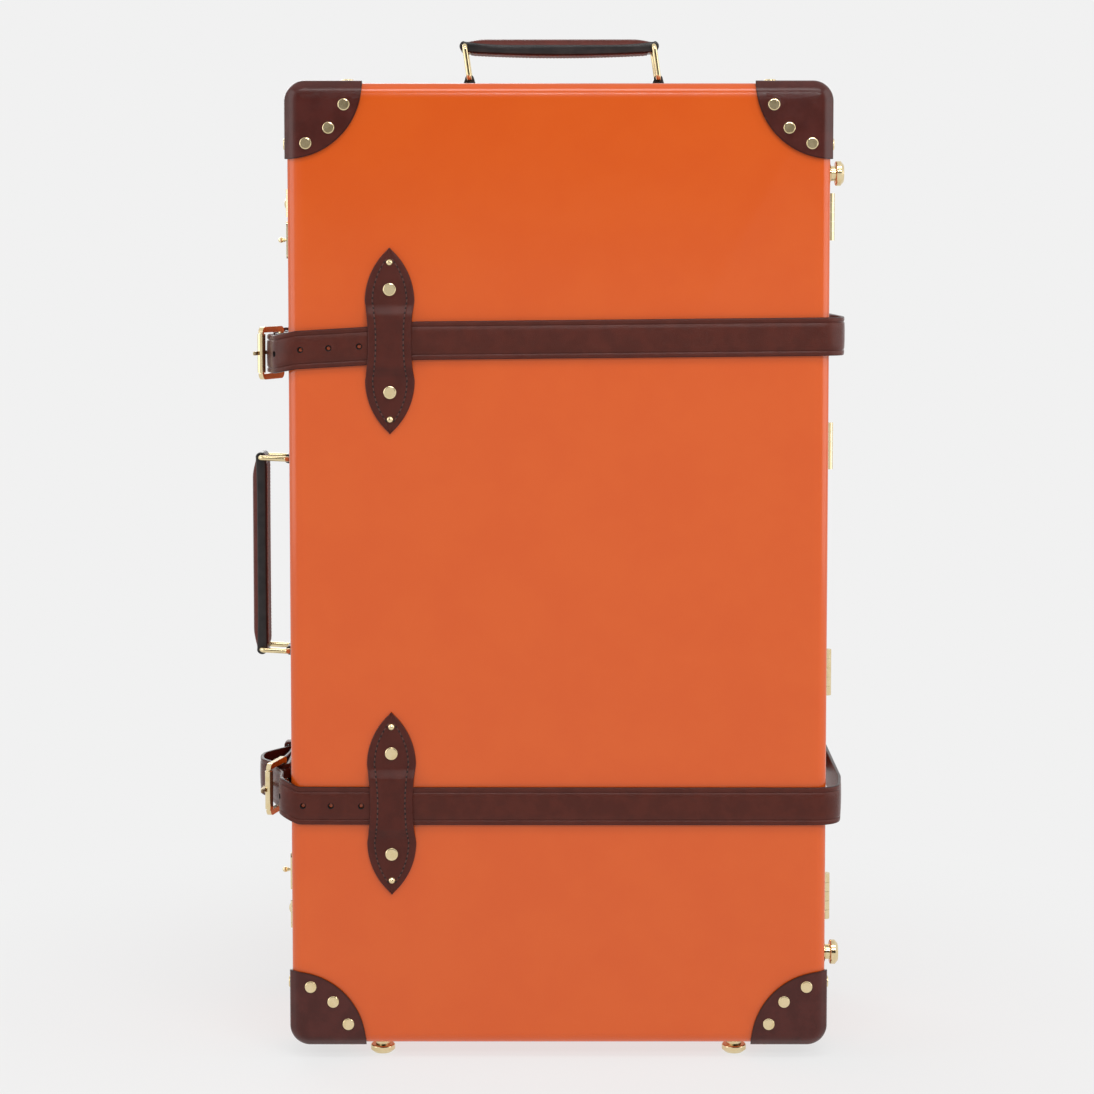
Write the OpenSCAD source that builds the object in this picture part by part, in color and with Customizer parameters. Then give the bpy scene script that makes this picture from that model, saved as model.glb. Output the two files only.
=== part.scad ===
// Suitcase of vulcanised fibre with leather corners, two buckled straps and brass fittings.
// It stands on its short end. The lid is the shallow front half and swings on four hinges.
// Units are millimetres, +Z is up, the lid faces -Y and the hinges are on the +X side.

/* [Case] */
// Width of the shell, side to side
case_w = 424; // [400:1:450]
// Height of the shell as it stands on its short end
case_h = 760; // [740:1:800]
// Depth of the shell, front to back
case_d = 240; // [225:1:260]
// Depth of the lid, from its face to the split
lid_d = 75; // [70:1:85]
// Thickness of the fibre board
wall = 2.5; // [2:0.1:3.5]
// Radius of the shell's outline at its four corners
corner_r = 14; // [12:0.5:18]
// Radius of the pressed edge round the front and back faces
edge_r = 8; // [6:0.5:10]
// Gap between the lid and the tray when shut
split_gap = 0.6; // [0.4:0.1:1]

/* [Inside] */
// Thickness of the lining
lining_t = 1; // [0.6:0.1:1.6]
// Thickness of the wooden rim inside the tray's mouth
rim_t = 5; // [4:0.5:7]
// Height of the rim inside the tray
rim_in = 20; // [14:1:30]
// Height that the rim stands up into the lid
rim_out = 10; // [6:1:14]
// Width of the two packing straps
packing_w = 25; // [20:1:32]
// Thickness of the packing straps' webbing
packing_t = 1.5; // [1:0.1:2.5]

/* [Leather corners] */
// Reach of a corner along each edge
cap_reach = 59; // [52:1:62]
// Thickness of the corner leather
cap_t = 2.2; // [1.6:0.1:3]
// Diameter of a corner rivet's head
cap_rivet_d = 9.5; // [7:0.5:11]
// Height of a corner rivet's head
cap_rivet_h = 1.3; // [0.8:0.1:2]

/* [Feet] */
// Height of a foot
foot_h = 11.6; // [10:0.2:14]
// Diameter of a foot at its widest
foot_d = 19.5; // [16:0.5:20]
// Distance of the bottom feet from the case's sides
foot_side = 71; // [70.5:0.5:90]
// Distance of the side feet from the case's ends
foot_end = 69.5; // [69.5:0.5:80]
// Distance of a foot's centre from the front or back face
foot_in = 21; // [18:1:24]

/* [Hinges] */
// Length of a hinge
hinge_len = 38; // [30:1:46]
// Distance of the end hinges from the case's ends
hinge_end = 102.5; // [98:0.5:120]
// Diameter of the hinge knuckles
knuckle_d = 7.5; // [6.5:0.25:8.5]
// Distance of the hinge axis from the side wall
hinge_out = 7; // [6:0.1:8]
// Diameter of the hinge pin
hinge_pin_d = 3; // [2.4:0.1:3.4]
// Reach of a hinge leaf from the split
leaf_reach = 20; // [16:1:26]
// Thickness of a leaf
leaf_t = 1.2; // [1:0.1:1.6]

/* [Locks] */
// Distance of the lock slides from the case's ends
lock_end = 121; // [121:1:135]
// Length of the raised lock box
lock_len = 30; // [26:1:32]
// Height of the lock box off the wall
lock_h = 8; // [7:0.25:9]
// Distance from a slide to the middle of its hasp
hasp_off = 29; // [28:1:30]
// Width of a hasp
hasp_w = 22; // [18:1:23]
// Reach of a hasp from its hinge towards the tray
hasp_len = 36; // [32:1:38]
// Width of the raised lock box
lock_w = 20; // [17:0.5:22]
// Distance from the split to the middle of a lock box
lock_in = 14; // [13.5:0.5:16]
// Thickness of the lock's base plate
lock_plate_t = 1.2; // [1:0.1:1.5]
// Distance of a hasp's hinge from the split
hasp_back = 20; // [18:0.5:22]
// Diameter of a hasp's barrel
hasp_barrel_d = 4.4; // [4:0.1:5]
// Diameter of a hasp's pin
hasp_pin_d = 1.8; // [1.4:0.1:2.2]
// Thickness of a hasp's plate
hasp_t = 1.4; // [1:0.1:1.6]
// Diameter of a slide's knob
knob_d = 4.6; // [4:0.2:6]
// Height of a knob's middle above its lock box
knob_lift = 5.2; // [4:0.1:6]
// Travel of a slide
slide_travel = 6; // [4:0.5:7]

/* [Handles] */
// Distance between the top handle's pivots
top_pitch = 154; // [140:1:170]
// Distance of the top handle from the case's middle, towards the hinges
top_off = 4.6; // [0:0.2:8]
// Distance between the side handle's pivots
side_pitch = 159; // [145:1:175]
// Length of a top link between its pivots
top_link = 27; // [26:0.5:32]
// Length of a side link between its pivots
side_link = 23; // [22.5:0.5:28]
// Angle that the top handle leans to the left
top_lean = 8.2; // [0:0.2:15]
// Angle that the side handle leans upwards
side_lean = 3; // [0:0.5:15]
// Diameter of the links' brass rod
rod_d = 4.2; // [3.6:0.1:4.6]
// Distance between a link's two legs
link_w = 36; // [34:0.5:40]
// Bend radius of a link's four corners
ring_bend = 3.2; // [2.8:0.1:4]
// Radial clearance of the links in their bores
link_fit = 0.1; // [0.03:0.01:0.1]
// Height of the link pivots above the wall
pivot_h = 10; // [9.5:0.5:12]
// Length of a handle bracket's barrel
bracket_w = 24; // [20:0.5:27]
// Diameter of a handle bracket's barrel
barrel_d = 7.4; // [7:0.1:8.5]
// Width of a handle bracket's plate
bracket_plate_w = 26; // [24:0.5:30]
// Length of a handle bracket's plate
bracket_plate_l = 34; // [32:0.5:38]
// Height of the top grip's middle above its pivots
top_rise = 6.1; // [5.5:0.1:8]
// Depth of the top grip's middle below its pivots
top_drop = 7.8; // [6:0.1:9]
// Height of the side grip's middle above its pivots
side_rise = 7.5; // [5.5:0.1:8]
// Depth of the side grip's middle below its pivots
side_drop = 5; // [4.6:0.1:8]
// Height of a grip's ends above its pivots
end_rise = 4.9; // [4.6:0.1:5.4]
// Depth of a grip's ends below its pivots
end_drop = 6; // [4.8:0.1:6.6]
// Length of a grip past its pivots
grip_over = 4.3; // [3.8:0.1:4.6]

/* [Straps] */
// Width of the straps
strap_w = 30; // [26:1:32]
// Thickness of the strap leather
strap_t = 3.2; // [2.6:0.1:3.6]
// Gap between a strap and the case's faces
strap_gap = 0.5; // [0.4:0.1:1]
// Height of the upper strap's right end above the case's middle
upper_right_z = 183; // [178:1:190]
// Height of the upper strap at the front's left edge, above the case's middle
upper_bend_z = 172.4; // [168:0.2:180]
// Height of the upper strap's buckle above the case's middle
upper_left_z = 168.8; // [165:0.2:174]
// Height of the lower strap's right end, below the case's middle
lower_right_z = -188; // [-192:1:-182]
// Height of the lower strap at the front's left edge, below the case's middle
lower_bend_z = -187.4; // [-192:0.2:-184]
// Height of the lower strap's buckle, below the case's middle
lower_left_z = -182; // [-188:0.5:-178]
// Distance of the straps from the right wall just behind the front corner
strap_off_corner = 11.4; // [10.6:0.2:14]
// Distance of the straps from the right wall near the front
strap_off_front = 15.4; // [13:0.2:16]
// Distance of the straps from the right wall near the back
strap_off_back = 19; // [16:0.2:20]
// Distance of the upper strap from the left wall where it turns back
upper_off = 14.8; // [12:0.2:16]
// Distance of the lower strap from the left wall where it turns back
lower_off = 9.4; // [8:0.2:12]
// Distance of the first punched hole from the front's left edge
first_hole_in = 56.5; // [50:0.5:58]
// Distance between the punched holes
hole_pitch = 23.4; // [20:0.2:26]
// Diameter of the punched holes
hole_d = 4; // [3.2:0.1:4.6]

/* [Strap loops] */
// Distance of the loops from the case's left side
loop_in = 80; // [78:1:92]
// Height of a loop's middle above the strap's middle
loop_lift = 1.8; // [0:0.2:2.4]
// Length of a loop, tip to tip
loop_len = 145; // [140:1:150]
// Width of a loop at its widest
loop_w = 38.7; // [36:0.1:42]
// Width of a loop at its waist
loop_waist = 33.5; // [31:0.1:35]
// Distance between a loop's two widest places
loop_wide_pitch = 61.2; // [58:0.2:66]
// Thickness of the loop leather
loop_t = 2.6; // [2:0.1:3]
// Distance between a loop's two large rivets
loop_rivet_pitch = 80.4; // [76:0.2:84]
// Diameter of a large rivet
loop_rivet_d = 10.4; // [8:0.2:12]
// Distance between a loop's two small nails
loop_nail_pitch = 122.6; // [119:0.2:126]
// Diameter of a small nail
loop_nail_d = 5.8; // [4.6:0.2:6.4]

/* [Buckles] */
// Height of a buckle frame, outside
buckle_w = 42; // [41:0.5:46]
// Diameter of the frame's bars
bar_d = 4.2; // [3.6:0.1:4.6]
// Depth of the roller bar behind the front face
roller_depth = 35; // [33:0.5:37]
// Depth of the heel bar behind the front face
heel_depth = 72; // [71:0.5:76]
// Length of the strap that is turned back round the heel bar
chape_len = 45; // [40:1:60]
// Distance of the heel bar from the wall
heel_off = 12; // [11.6:0.1:13]
// Distance of the upper roller bar from the wall
upper_roller_off = 24; // [23:0.5:26]
// Distance of the lower roller bar from the wall
lower_roller_off = 20.5; // [20:0.5:23]
// Diameter of the roller
roller_d = 6.4; // [6:0.1:7]
// Radial clearance of the roller and of the tongue's eye
buckle_fit = 0.1; // [0.04:0.01:0.1]
// Width and thickness of the tongue
tongue_t = 3; // [2.4:0.1:3.2]
// Depth of the keeper behind the front face
keeper_depth = 160; // [156:1:170]
// Width of the keeper
keeper_w = 12; // [10:0.5:14]
// Thickness of the keeper's leather
keeper_t = 2.4; // [2:0.1:2.8]
// Distance of the upper strap's end from the wall where it bulges most
upper_bulge = 24; // [22:0.5:27]
// Distance of the lower strap's end from the wall where it bulges most
lower_bulge = 34; // [28:0.5:36]

/* [Hidden] */
$fn = 64;

fibre = [0.85, 0.36, 0.15];
leather = [0.29, 0.13, 0.10];
brass = [0.85, 0.74, 0.50];
wood = [0.72, 0.55, 0.36];
cloth = [0.80, 0.74, 0.62];
steel = [0.60, 0.60, 0.62];

hw = case_w / 2;
hd = case_d / 2;
hh = case_h / 2;
mid_z = foot_h + hh;
split_y = lid_d - hd;
glue = 0.15;
lap = 0.01;
loop_x = hw - loop_in;
left_reach = pivot_h + side_link * cos(side_lean) + side_rise;
right_reach = strap_off_back + strap_t / 2;
case_x = (left_reach - right_reach) / 2;

// Frames of the walls: x along the wall, z outwards. On the side walls x runs along world Z.
module at_case() translate([case_x, 0, mid_z]) children();
module on_left(y = 0, z = 0) translate([-hw, y, z]) rotate([0, -90, 0]) children();
module on_right(y = 0, z = 0) translate([hw, y, z]) rotate([0, 90, 0]) children();
module on_top(x = 0, y = 0) translate([x, y, hh]) children();
module on_bottom(x = 0, y = 0) translate([x, y, -hh]) rotate([180, 0, 0]) children();
module on_front(x = 0, z = 0) translate([x, -hd, z]) rotate([90, 0, 0]) children();
module on_back(x = 0, z = 0) translate([x, hd, z]) rotate([-90, 0, 0]) children();
// The back half is the front half's shape turned about Z, so that its own left stays its left.
module flip_y(back) mirror([0, back ? 1 : 0, 0]) children();

function arc(c, r, from, to, n = 6) =
    [for (i = [0:n]) let (a = from + (to - from) * i / n) c + r * [cos(a), sin(a)]];
function unit(v) = v / norm(v);
function turn(v) = [-v[1], v[0]];
function heading(p, i) = unit(p[min(i + 1, len(p) - 1)] - p[max(i - 1, 0)]);
function beside(p, off) = [for (i = [0:len(p) - 1]) p[i] + off * turn(heading(p, i))];
function reversed(p) = [for (i = [len(p) - 1:-1:0]) p[i]];

module rounded_rect(w, h, r) {
    square([w - 2 * r, h], center = true);
    square([w, h - 2 * r], center = true);
    for (x = [-1, 1], y = [-1, 1])
        translate([x * (w / 2 - r), y * (h / 2 - r)]) circle(r);
}

// A band of leather on edge: its path lies in the XY plane and its width is along Z.
module ribbon(path, thick, width) {
    linear_extrude(height = width, center = true)
        polygon(concat(beside(path, thick / 2), reversed(beside(path, -thick / 2))));
}

// Rounded box with its rounded face at y = 0 and its sharp end at y = d.
module tub(w, h, d, rc, re) {
    translate([0, re, 0]) rotate([-90, 0, 0])
        linear_extrude(height = d - re) rounded_rect(w, h, rc);
    translate([0, re / 2, 0]) cube([w - 2 * rc, re, h - 2 * re], center = true);
    translate([0, re / 2, 0]) cube([w - 2 * re, re, h - 2 * rc], center = true);
    for (s = [-1, 1]) {
        translate([s * (w / 2 - re), re, 0]) edge_bar(h - 2 * rc, re, s > 0 ? 0 : -90);
        translate([0, re, s * (h / 2 - re)]) rotate([0, -90, 0])
            edge_bar(w - 2 * rc, re, s > 0 ? 0 : -90);
    }
    for (x = [-1, 1], z = [-1, 1])
        translate([x * (w / 2 - rc), re, z * (h / 2 - rc)]) rotate([90, 0, 0]) corner_disc(rc, re);
}

// Quarter-round bar along Z, whose rounded side faces -Y and +X, or -X when turned.
module edge_bar(length, r, turned) {
    rotate([0, 0, turned]) linear_extrude(height = length, center = true) intersection() {
        circle(r);
        translate([0, -r]) square(r);
    }
}

module corner_disc(rc, re) {
    rotate_extrude() {
        square([rc - re, re]);
        translate([rc - re, 0]) intersection() {
            circle(re);
            square(re);
        }
    }
}

// One half of the shell: a tub with its face at y = -hd, or at hd for the back.
module half_tub(depth, inset, back) {
    flip_y(back) translate([0, -hd + inset, 0])
        tub(case_w - 2 * inset, case_h - 2 * inset, depth - inset, corner_r - inset, edge_r - inset);
}

module half_shell(depth, back) {
    difference() {
        half_tub(depth, 0, back);
        half_tub(depth + 1, wall, back);
    }
}

module half_lining(depth, back) {
    difference() {
        half_tub(depth, wall + glue, back);
        half_tub(depth + 1, wall + glue + lining_t, back);
    }
}

tray_d = case_d - lid_d - split_gap;

module tray_shell() {
    color(fibre) half_shell(tray_d, true);
}

module lid_shell() {
    color(fibre) half_shell(lid_d, false);
}

module tray_lining() {
    color(cloth) half_lining(tray_d - rim_in - 0.5, true);
}

module lid_lining() {
    color(cloth) half_lining(lid_d - rim_out - 1.5, false);
}

// The wooden rim stiffens the tray's mouth, and the lid shuts over its upper part.
module tray_rim() {
    inset = wall + 0.5;
    bottom_y = split_y + split_gap + rim_in;
    color(wood) translate([0, bottom_y, 0]) rotate([90, 0, 0])
        linear_extrude(height = rim_in + rim_out) difference() {
            rounded_rect(case_w - 2 * inset, case_h - 2 * inset, corner_r - inset);
            rounded_rect(case_w - 2 * (inset + rim_t), case_h - 2 * (inset + rim_t), corner_r - inset - rim_t);
        }
}

// Two webbing straps that hold the clothes down, lying flat with a small slide buckle each.
module packing_straps() {
    lining_in = wall + glue + lining_t;
    y = hd - lining_in - packing_t - glue;
    for (z = [-1, 1]) translate([0, y, z * case_h / 5]) {
        color(cloth) translate([0, packing_t / 2, 0])
            cube([case_w - 2 * lining_in - 2 * edge_r, packing_t, packing_w], center = true);
        color(brass) translate([0, packing_t / 4, 0]) rotate([90, 0, 0]) linear_extrude(height = 2)
            difference() {
                rounded_rect(packing_w + 2, packing_w + 8, 3);
                for (x = [-1, 1]) translate([x * 7, 0]) square([6, packing_w + 1], center = true);
            }
    }
}

backing_t = 1.2;

module backing_plate(pitch) {
    linear_extrude(height = backing_t) rounded_rect(pitch + 1.5 * bracket_plate_w, bracket_plate_l, 4);
}

// Steel plates inside the tray that the handle brackets are riveted to.
module handle_backing_plates() {
    inset = wall + glue + lining_t + glue;
    color(steel) {
        on_top(top_off) translate([0, 0, -inset - backing_t]) backing_plate(top_pitch);
        on_left() translate([0, 0, -inset - backing_t]) backing_plate(side_pitch);
    }
}

module corner_cap(x, z, back) {
    reach = 2.4 * cap_reach;
    flip_y(back) translate([x * (hw - reach / 2), -hd, z * (hh - reach / 2)]) difference() {
        intersection() {
            translate([0, -cap_t, 0])
                tub(reach + 2 * cap_t, reach + 2 * cap_t, reach, corner_r + cap_t, edge_r + cap_t);
            translate([x * reach / 2, 0, z * reach / 2]) sphere(cap_reach);
        }
        translate([0, -glue, 0])
            tub(reach + 2 * glue, reach + 2 * glue, reach + cap_t, corner_r + glue, edge_r + glue);
    }
}

module tray_corner_top_left() color(leather) corner_cap(-1, 1, true);
module tray_corner_top_right() color(leather) corner_cap(1, 1, true);
module tray_corner_bottom_left() color(leather) corner_cap(-1, -1, true);
module tray_corner_bottom_right() color(leather) corner_cap(1, -1, true);
module lid_corner_top_left() color(leather) corner_cap(-1, 1, false);
module lid_corner_top_right() color(leather) corner_cap(1, 1, false);
module lid_corner_bottom_left() color(leather) corner_cap(-1, -1, false);
module lid_corner_bottom_right() color(leather) corner_cap(1, -1, false);

// Flat round head with a rolled edge, sitting on z = 0.
module rivet_head(d, h) {
    rotate_extrude() polygon(concat(
        [[0, 0], [d / 2, 0]],
        arc([d / 2 - h * 0.7, h * 0.3], h * 0.7, 0, 90, 4),
        [[0, h]]));
}

// Places of a corner's rivets on one of its faces, from its two edges.
cap_rivets = [[15.2, 47], [33, 35], [45, 17]];

module corner_rivets(back) {
    color(brass) flip_y(back) for (x = [-1, 1], z = [-1, 1], p = cap_rivets) {
        on_front(x * (hw - p[0]), z * (hh - p[1])) translate([0, 0, cap_t])
            rivet_head(cap_rivet_d, cap_rivet_h);
        translate([x * (hw + cap_t), -hd + p[0], z * (hh - p[1])]) rotate([0, x * 90, 0])
            rivet_head(cap_rivet_d, cap_rivet_h);
        translate([x * (hw - p[1]), -hd + p[0], z * (hh + cap_t)]) rotate([0, z > 0 ? 0 : 180, 0])
            rivet_head(cap_rivet_d, cap_rivet_h);
    }
}

module tray_corner_rivets() corner_rivets(true);
module lid_corner_rivets() corner_rivets(false);

// Turned brass foot: a base, a waist and a thick button with a bevelled rim.
module foot() {
    r = foot_d / 2;
    button = foot_h * 0.56;
    bevel = foot_h * 0.2;
    rotate_extrude() polygon(concat(
        [[0, 0], [r * 0.8, 0], [r * 0.8, foot_h * 0.1], [r * 0.6, foot_h * 0.16], [r * 0.6, foot_h - button]],
        arc([r - 1.2, foot_h - button + 1.2], 1.2, -80, 0, 3),
        [[r, foot_h - bevel]],
        arc([r - bevel - 0.6, foot_h - 0.8], 0.8, 45, 90, 2),
        [[0, foot_h]]));
}

module feet(back) {
    color(brass) flip_y(back) for (s = [-1, 1]) {
        on_bottom(s * (hw - foot_side), -hd + foot_in) foot();
        on_right(-hd + foot_in, s * (hh - foot_end)) foot();
    }
}

module tray_feet() feet(true);
module lid_feet() feet(false);

hinge_zs = [for (i = [-1:2 / 3:1]) i * (hh - hinge_end)];
knuckles = 5;

// Knuckles and leaf of one half of a hinge; the tray has the first, third and fifth knuckle.
module hinge_half(back) {
    step = hinge_len / knuckles;
    s = back ? 1 : -1;
    leaf_y = s * (leaf_reach + split_gap) / 2 + (back ? split_gap / 2 : -split_gap / 2);
    for (i = [0:knuckles - 1]) if ((i % 2 == 0) == back)
        translate([(i - (knuckles - 1) / 2) * step, 0, 0]) difference() {
            union() {
                translate([0, 0, hinge_out]) rotate([0, 90, 0])
                    cylinder(d = knuckle_d, h = step - 0.3, center = true);
                translate([0, s * (split_gap + 3) / 2 + s * 0.2, (hinge_out + 1.2) / 2])
                    cube([step - 0.3, split_gap + 2.6, hinge_out + 1.2], center = true);
            }
            translate([0, 0, hinge_out]) rotate([0, 90, 0])
                cylinder(d = hinge_pin_d + 0.12, h = step + 1, center = true);
        }
    translate([0, leaf_y + s * 1.5, leaf_t / 2])
        cube([hinge_len - 0.3, leaf_reach - 1.5, leaf_t], center = true);
    for (x = [-1, 1]) translate([x * hinge_len * 0.3, s * leaf_reach * 0.7, leaf_t]) rivet_head(5.4, 1);
}

module tray_hinge_leaves() color(brass) for (z = hinge_zs) on_right(split_y, z) hinge_half(true);
module lid_hinge_leaves() color(brass) for (z = hinge_zs) on_right(split_y, z) hinge_half(false);

module hinge_pins() {
    color(brass) for (z = hinge_zs) on_right(split_y, z) translate([0, 0, hinge_out]) rotate([0, 90, 0])
        cylinder(d = hinge_pin_d, h = hinge_len, center = true);
}

hasp_plate_t = 1;
hasp_axis_h = hasp_plate_t + hasp_barrel_d / 2 + 0.3;
ear_w = 4;
lock_z = hh - lock_end;

// Raised box with the slide's slot, on a base plate that also carries the hasp's staple.
module lock_box(s) {
    color(brass) on_left(split_y + lock_in, s * lock_z) {
        difference() {
            union() {
                translate([s * (hasp_off - 2) / 2, 0, 0]) linear_extrude(height = lock_plate_t)
                    rounded_rect(lock_len + hasp_off - 2, lock_w + 6, 4);
                linear_extrude(height = lock_h) rounded_rect(lock_len, lock_w, 3);
            }
            translate([0, 0, lock_plate_t]) linear_extrude(height = lock_h - 2 * lock_plate_t)
                rounded_rect(lock_len - 3, lock_w - 3, 1.8);
            translate([-s * slide_travel / 2, 0, lock_h - 2])
                linear_extrude(height = 3) rounded_rect(slide_travel + 3, 2.6, 1.2);
        }
        translate([s * hasp_off, -4, lock_plate_t - lap]) cylinder(d = 8, h = 1.2);
    }
}

// Knob, stem and bolt of one slide. It moves away from its hasp.
module lock_slide(s) {
    color(brass) on_left(split_y + lock_in, s * lock_z) {
        translate([0, 0, 2.9]) cube([9, 8, 2], center = true);
        translate([0, 0, 3.9 - lap]) cylinder(d = 2, h = lock_h + knob_lift - 3.9);
        translate([0, 0, lock_h + knob_lift]) rotate_extrude() polygon(concat(
            [[0, -3.2], [knob_d * 0.35, -3.2], [knob_d * 0.35, -2]],
            arc([0, 0], knob_d / 2, -45, 90, 6)));
    }
}

// Plate on the lid with the two ears that hold the hasp's pin.
module hasp_plate(s) {
    color(brass) on_left(split_y - hasp_back, s * (lock_z + hasp_off)) {
        translate([0, -1, 0]) linear_extrude(height = hasp_plate_t) rounded_rect(hasp_w + 4, 14, 3);
        difference() {
            union() for (x = [-1, 1]) translate([x * (hasp_w - ear_w) / 2, 0, 0]) {
                translate([0, 0, hasp_axis_h]) rotate([0, 90, 0])
                    cylinder(d = hasp_barrel_d, h = ear_w, center = true);
                translate([0, 0, hasp_axis_h / 2]) cube([ear_w, hasp_barrel_d, hasp_axis_h], center = true);
            }
            translate([0, 0, hasp_axis_h]) rotate([0, 90, 0])
                cylinder(d = hasp_pin_d + 0.1, h = hasp_w + 2, center = true);
        }
    }
}

// Hasp with its pin: a tongue plate with a raised dome that covers the staple.
module hasp(s) {
    eye = hasp_w - 2 * ear_w - 0.6;
    color(brass) on_left(split_y - hasp_back, s * (lock_z + hasp_off)) {
        translate([0, 0, hasp_axis_h]) rotate([0, 90, 0]) {
            cylinder(d = hasp_pin_d, h = hasp_w - 0.4, center = true);
            cylinder(d = hasp_barrel_d, h = eye, center = true);
        }
        translate([0, hasp_len / 2 - 2, hasp_axis_h + 0.6]) cube([eye, hasp_len - 8, hasp_t], center = true);
        translate([0, hasp_len - 14, hasp_axis_h + 0.6 - hasp_t / 2 + lap]) linear_extrude(height = hasp_t)
            rounded_rect(hasp_w - 3, 20, 5);
        translate([0, hasp_len - 14, hasp_axis_h + 0.6 + hasp_t / 2]) rotate_extrude()
            polygon(concat([[0, 0]], arc([0, -2.6], 7, 22, 90, 5)));
    }
}

module upper_lock_box() lock_box(1);
module lower_lock_box() lock_box(-1);
module upper_lock_slide() lock_slide(1);
module lower_lock_slide() lock_slide(-1);
module upper_hasp_plate() hasp_plate(1);
module lower_hasp_plate() hasp_plate(-1);
module upper_hasp() hasp(1);
module lower_hasp() hasp(-1);

// Handle bracket: a plate with a dome-sided barrel across it for the link's lower bar.
module bracket() {
    difference() {
        union() {
            linear_extrude(height = 1.6) rounded_rect(bracket_plate_w, bracket_plate_l, 6);
            translate([0, 0, pivot_h]) rotate([90, 0, 0]) cylinder(d = barrel_d, h = bracket_w, center = true);
            rotate([90, 0, 0]) linear_extrude(height = bracket_w, center = true)
                polygon([[-6.5, 1], [-barrel_d / 2, pivot_h], [barrel_d / 2, pivot_h], [6.5, 1]]);
        }
        translate([0, 0, pivot_h]) rotate([90, 0, 0])
            cylinder(d = rod_d + 2 * link_fit, h = link_w, center = true);
    }
    for (x = [-1, 1], y = [-1, 1])
        translate([x * (bracket_plate_w - 7) / 2, y * (bracket_plate_l - 7) / 2, 1.6]) rivet_head(4.4, 0.9);
}

// Closed oblong ring of round rod. Its lower bar lies on the origin, along Y.
module link_ring(length) {
    for (z = [0, length]) translate([0, 0, z]) rotate([90, 0, 0])
        cylinder(d = rod_d, h = link_w - 2 * ring_bend, center = true);
    for (y = [-1, 1]) translate([0, y * link_w / 2, ring_bend])
        cylinder(d = rod_d, h = length - 2 * ring_bend);
    for (far = [0, 1], top = [0, 1])
        translate([0, (far ? 1 : -1) * (link_w / 2 - ring_bend), top ? length - ring_bend : ring_bend])
            mirror([0, 1 - far, 0]) mirror([0, 0, top]) rotate([0, 90, 0])
                rotate_extrude(angle = 90) translate([ring_bend, 0]) circle(d = rod_d, $fn = 32);
}

// Grip between two links, seen from the side: bowed above and below, with its ends round the bars.
module grip(pitch, rise, drop) {
    reach = pitch / 2 - 2 * grip_over;
    steps = [-1:0.2:1];
    difference() {
        intersection() {
            rotate([90, 0, 0]) linear_extrude(height = link_w, center = true) polygon(concat(
                [for (t = steps) [t * reach, rise - (rise - end_rise) * t * t]],
                arc([pitch / 2, 0], grip_over, 70, -70, 8),
                [for (t = steps) [-t * reach, -drop + (drop - end_drop) * t * t]],
                arc([-pitch / 2, 0], grip_over, 250, 110, 8)));
            translate([0, 0, -2 * drop]) linear_extrude(height = 2 * (drop + rise))
                rounded_rect(pitch + 2 * grip_over, link_w - 2 * ring_bend - 0.6, grip_over);
        }
        for (x = [-1, 1]) translate([x * pitch / 2, 0, 0]) rotate([90, 0, 0])
            cylinder(d = rod_d + 2 * link_fit, h = link_w, center = true);
    }
}

side_pivot = [side_link * sin(side_lean), side_link * cos(side_lean) + pivot_h];
top_pivot = [-top_link * sin(top_lean), top_link * cos(top_lean) + pivot_h];

module top_handle_brackets() color(brass) for (s = [-1, 1]) on_top(top_off + s * top_pitch / 2) bracket();
module side_handle_brackets() color(brass) for (s = [-1, 1]) on_left(0, s * side_pitch / 2) bracket();

module top_link(s) color(brass) on_top(top_off + s * top_pitch / 2) translate([0, 0, pivot_h])
    rotate([0, -top_lean, 0]) link_ring(top_link);
module side_link(s) color(brass) on_left(0, s * side_pitch / 2) translate([0, 0, pivot_h])
    rotate([0, side_lean, 0]) link_ring(side_link);

module top_link_left() top_link(-1);
module top_link_right() top_link(1);
module side_link_upper() side_link(1);
module side_link_lower() side_link(-1);

module top_grip() color(leather) on_top(top_off) translate([top_pivot[0], 0, top_pivot[1]])
    grip(top_pitch, top_rise, top_drop);
module side_grip() color(leather) on_left() translate([side_pivot[0], 0, side_pivot[1]])
    grip(side_pitch, side_rise, side_drop);

// Strap heights along X, from the buckle side to the hinge side.
function strap_line(left_z, bend_z, right_z, off_left) = [
    [-hw - 60, left_z], [-hw - off_left + 2, left_z], [-hw + 6, bend_z],
    [-loop_x - loop_w / 2, bend_z + (right_z - bend_z) * 0.3],
    [-loop_x + loop_w / 2, bend_z + (right_z - bend_z) * 0.7], [hw, right_z], [hw + 40, right_z]];
function back_line(left_z, right_z) = [[-hw - 60, left_z], [-hw, left_z], [hw, right_z], [hw + 40, right_z]];

module strap_band(line) {
    rotate([90, 0, 0]) linear_extrude(height = case_d + 80, center = true) polygon(concat(
        [for (p = line) p + [0, strap_w / 2]],
        [for (p = reversed(line)) p - [0, strap_w / 2]]));
}

module strap_run(path, line) {
    mean_z = (line[0][1] + line[len(line) - 1][1]) / 2;
    intersection() {
        translate([0, 0, mean_z]) ribbon(path, strap_t, strap_w + 40);
        strap_band(line);
    }
}

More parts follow.
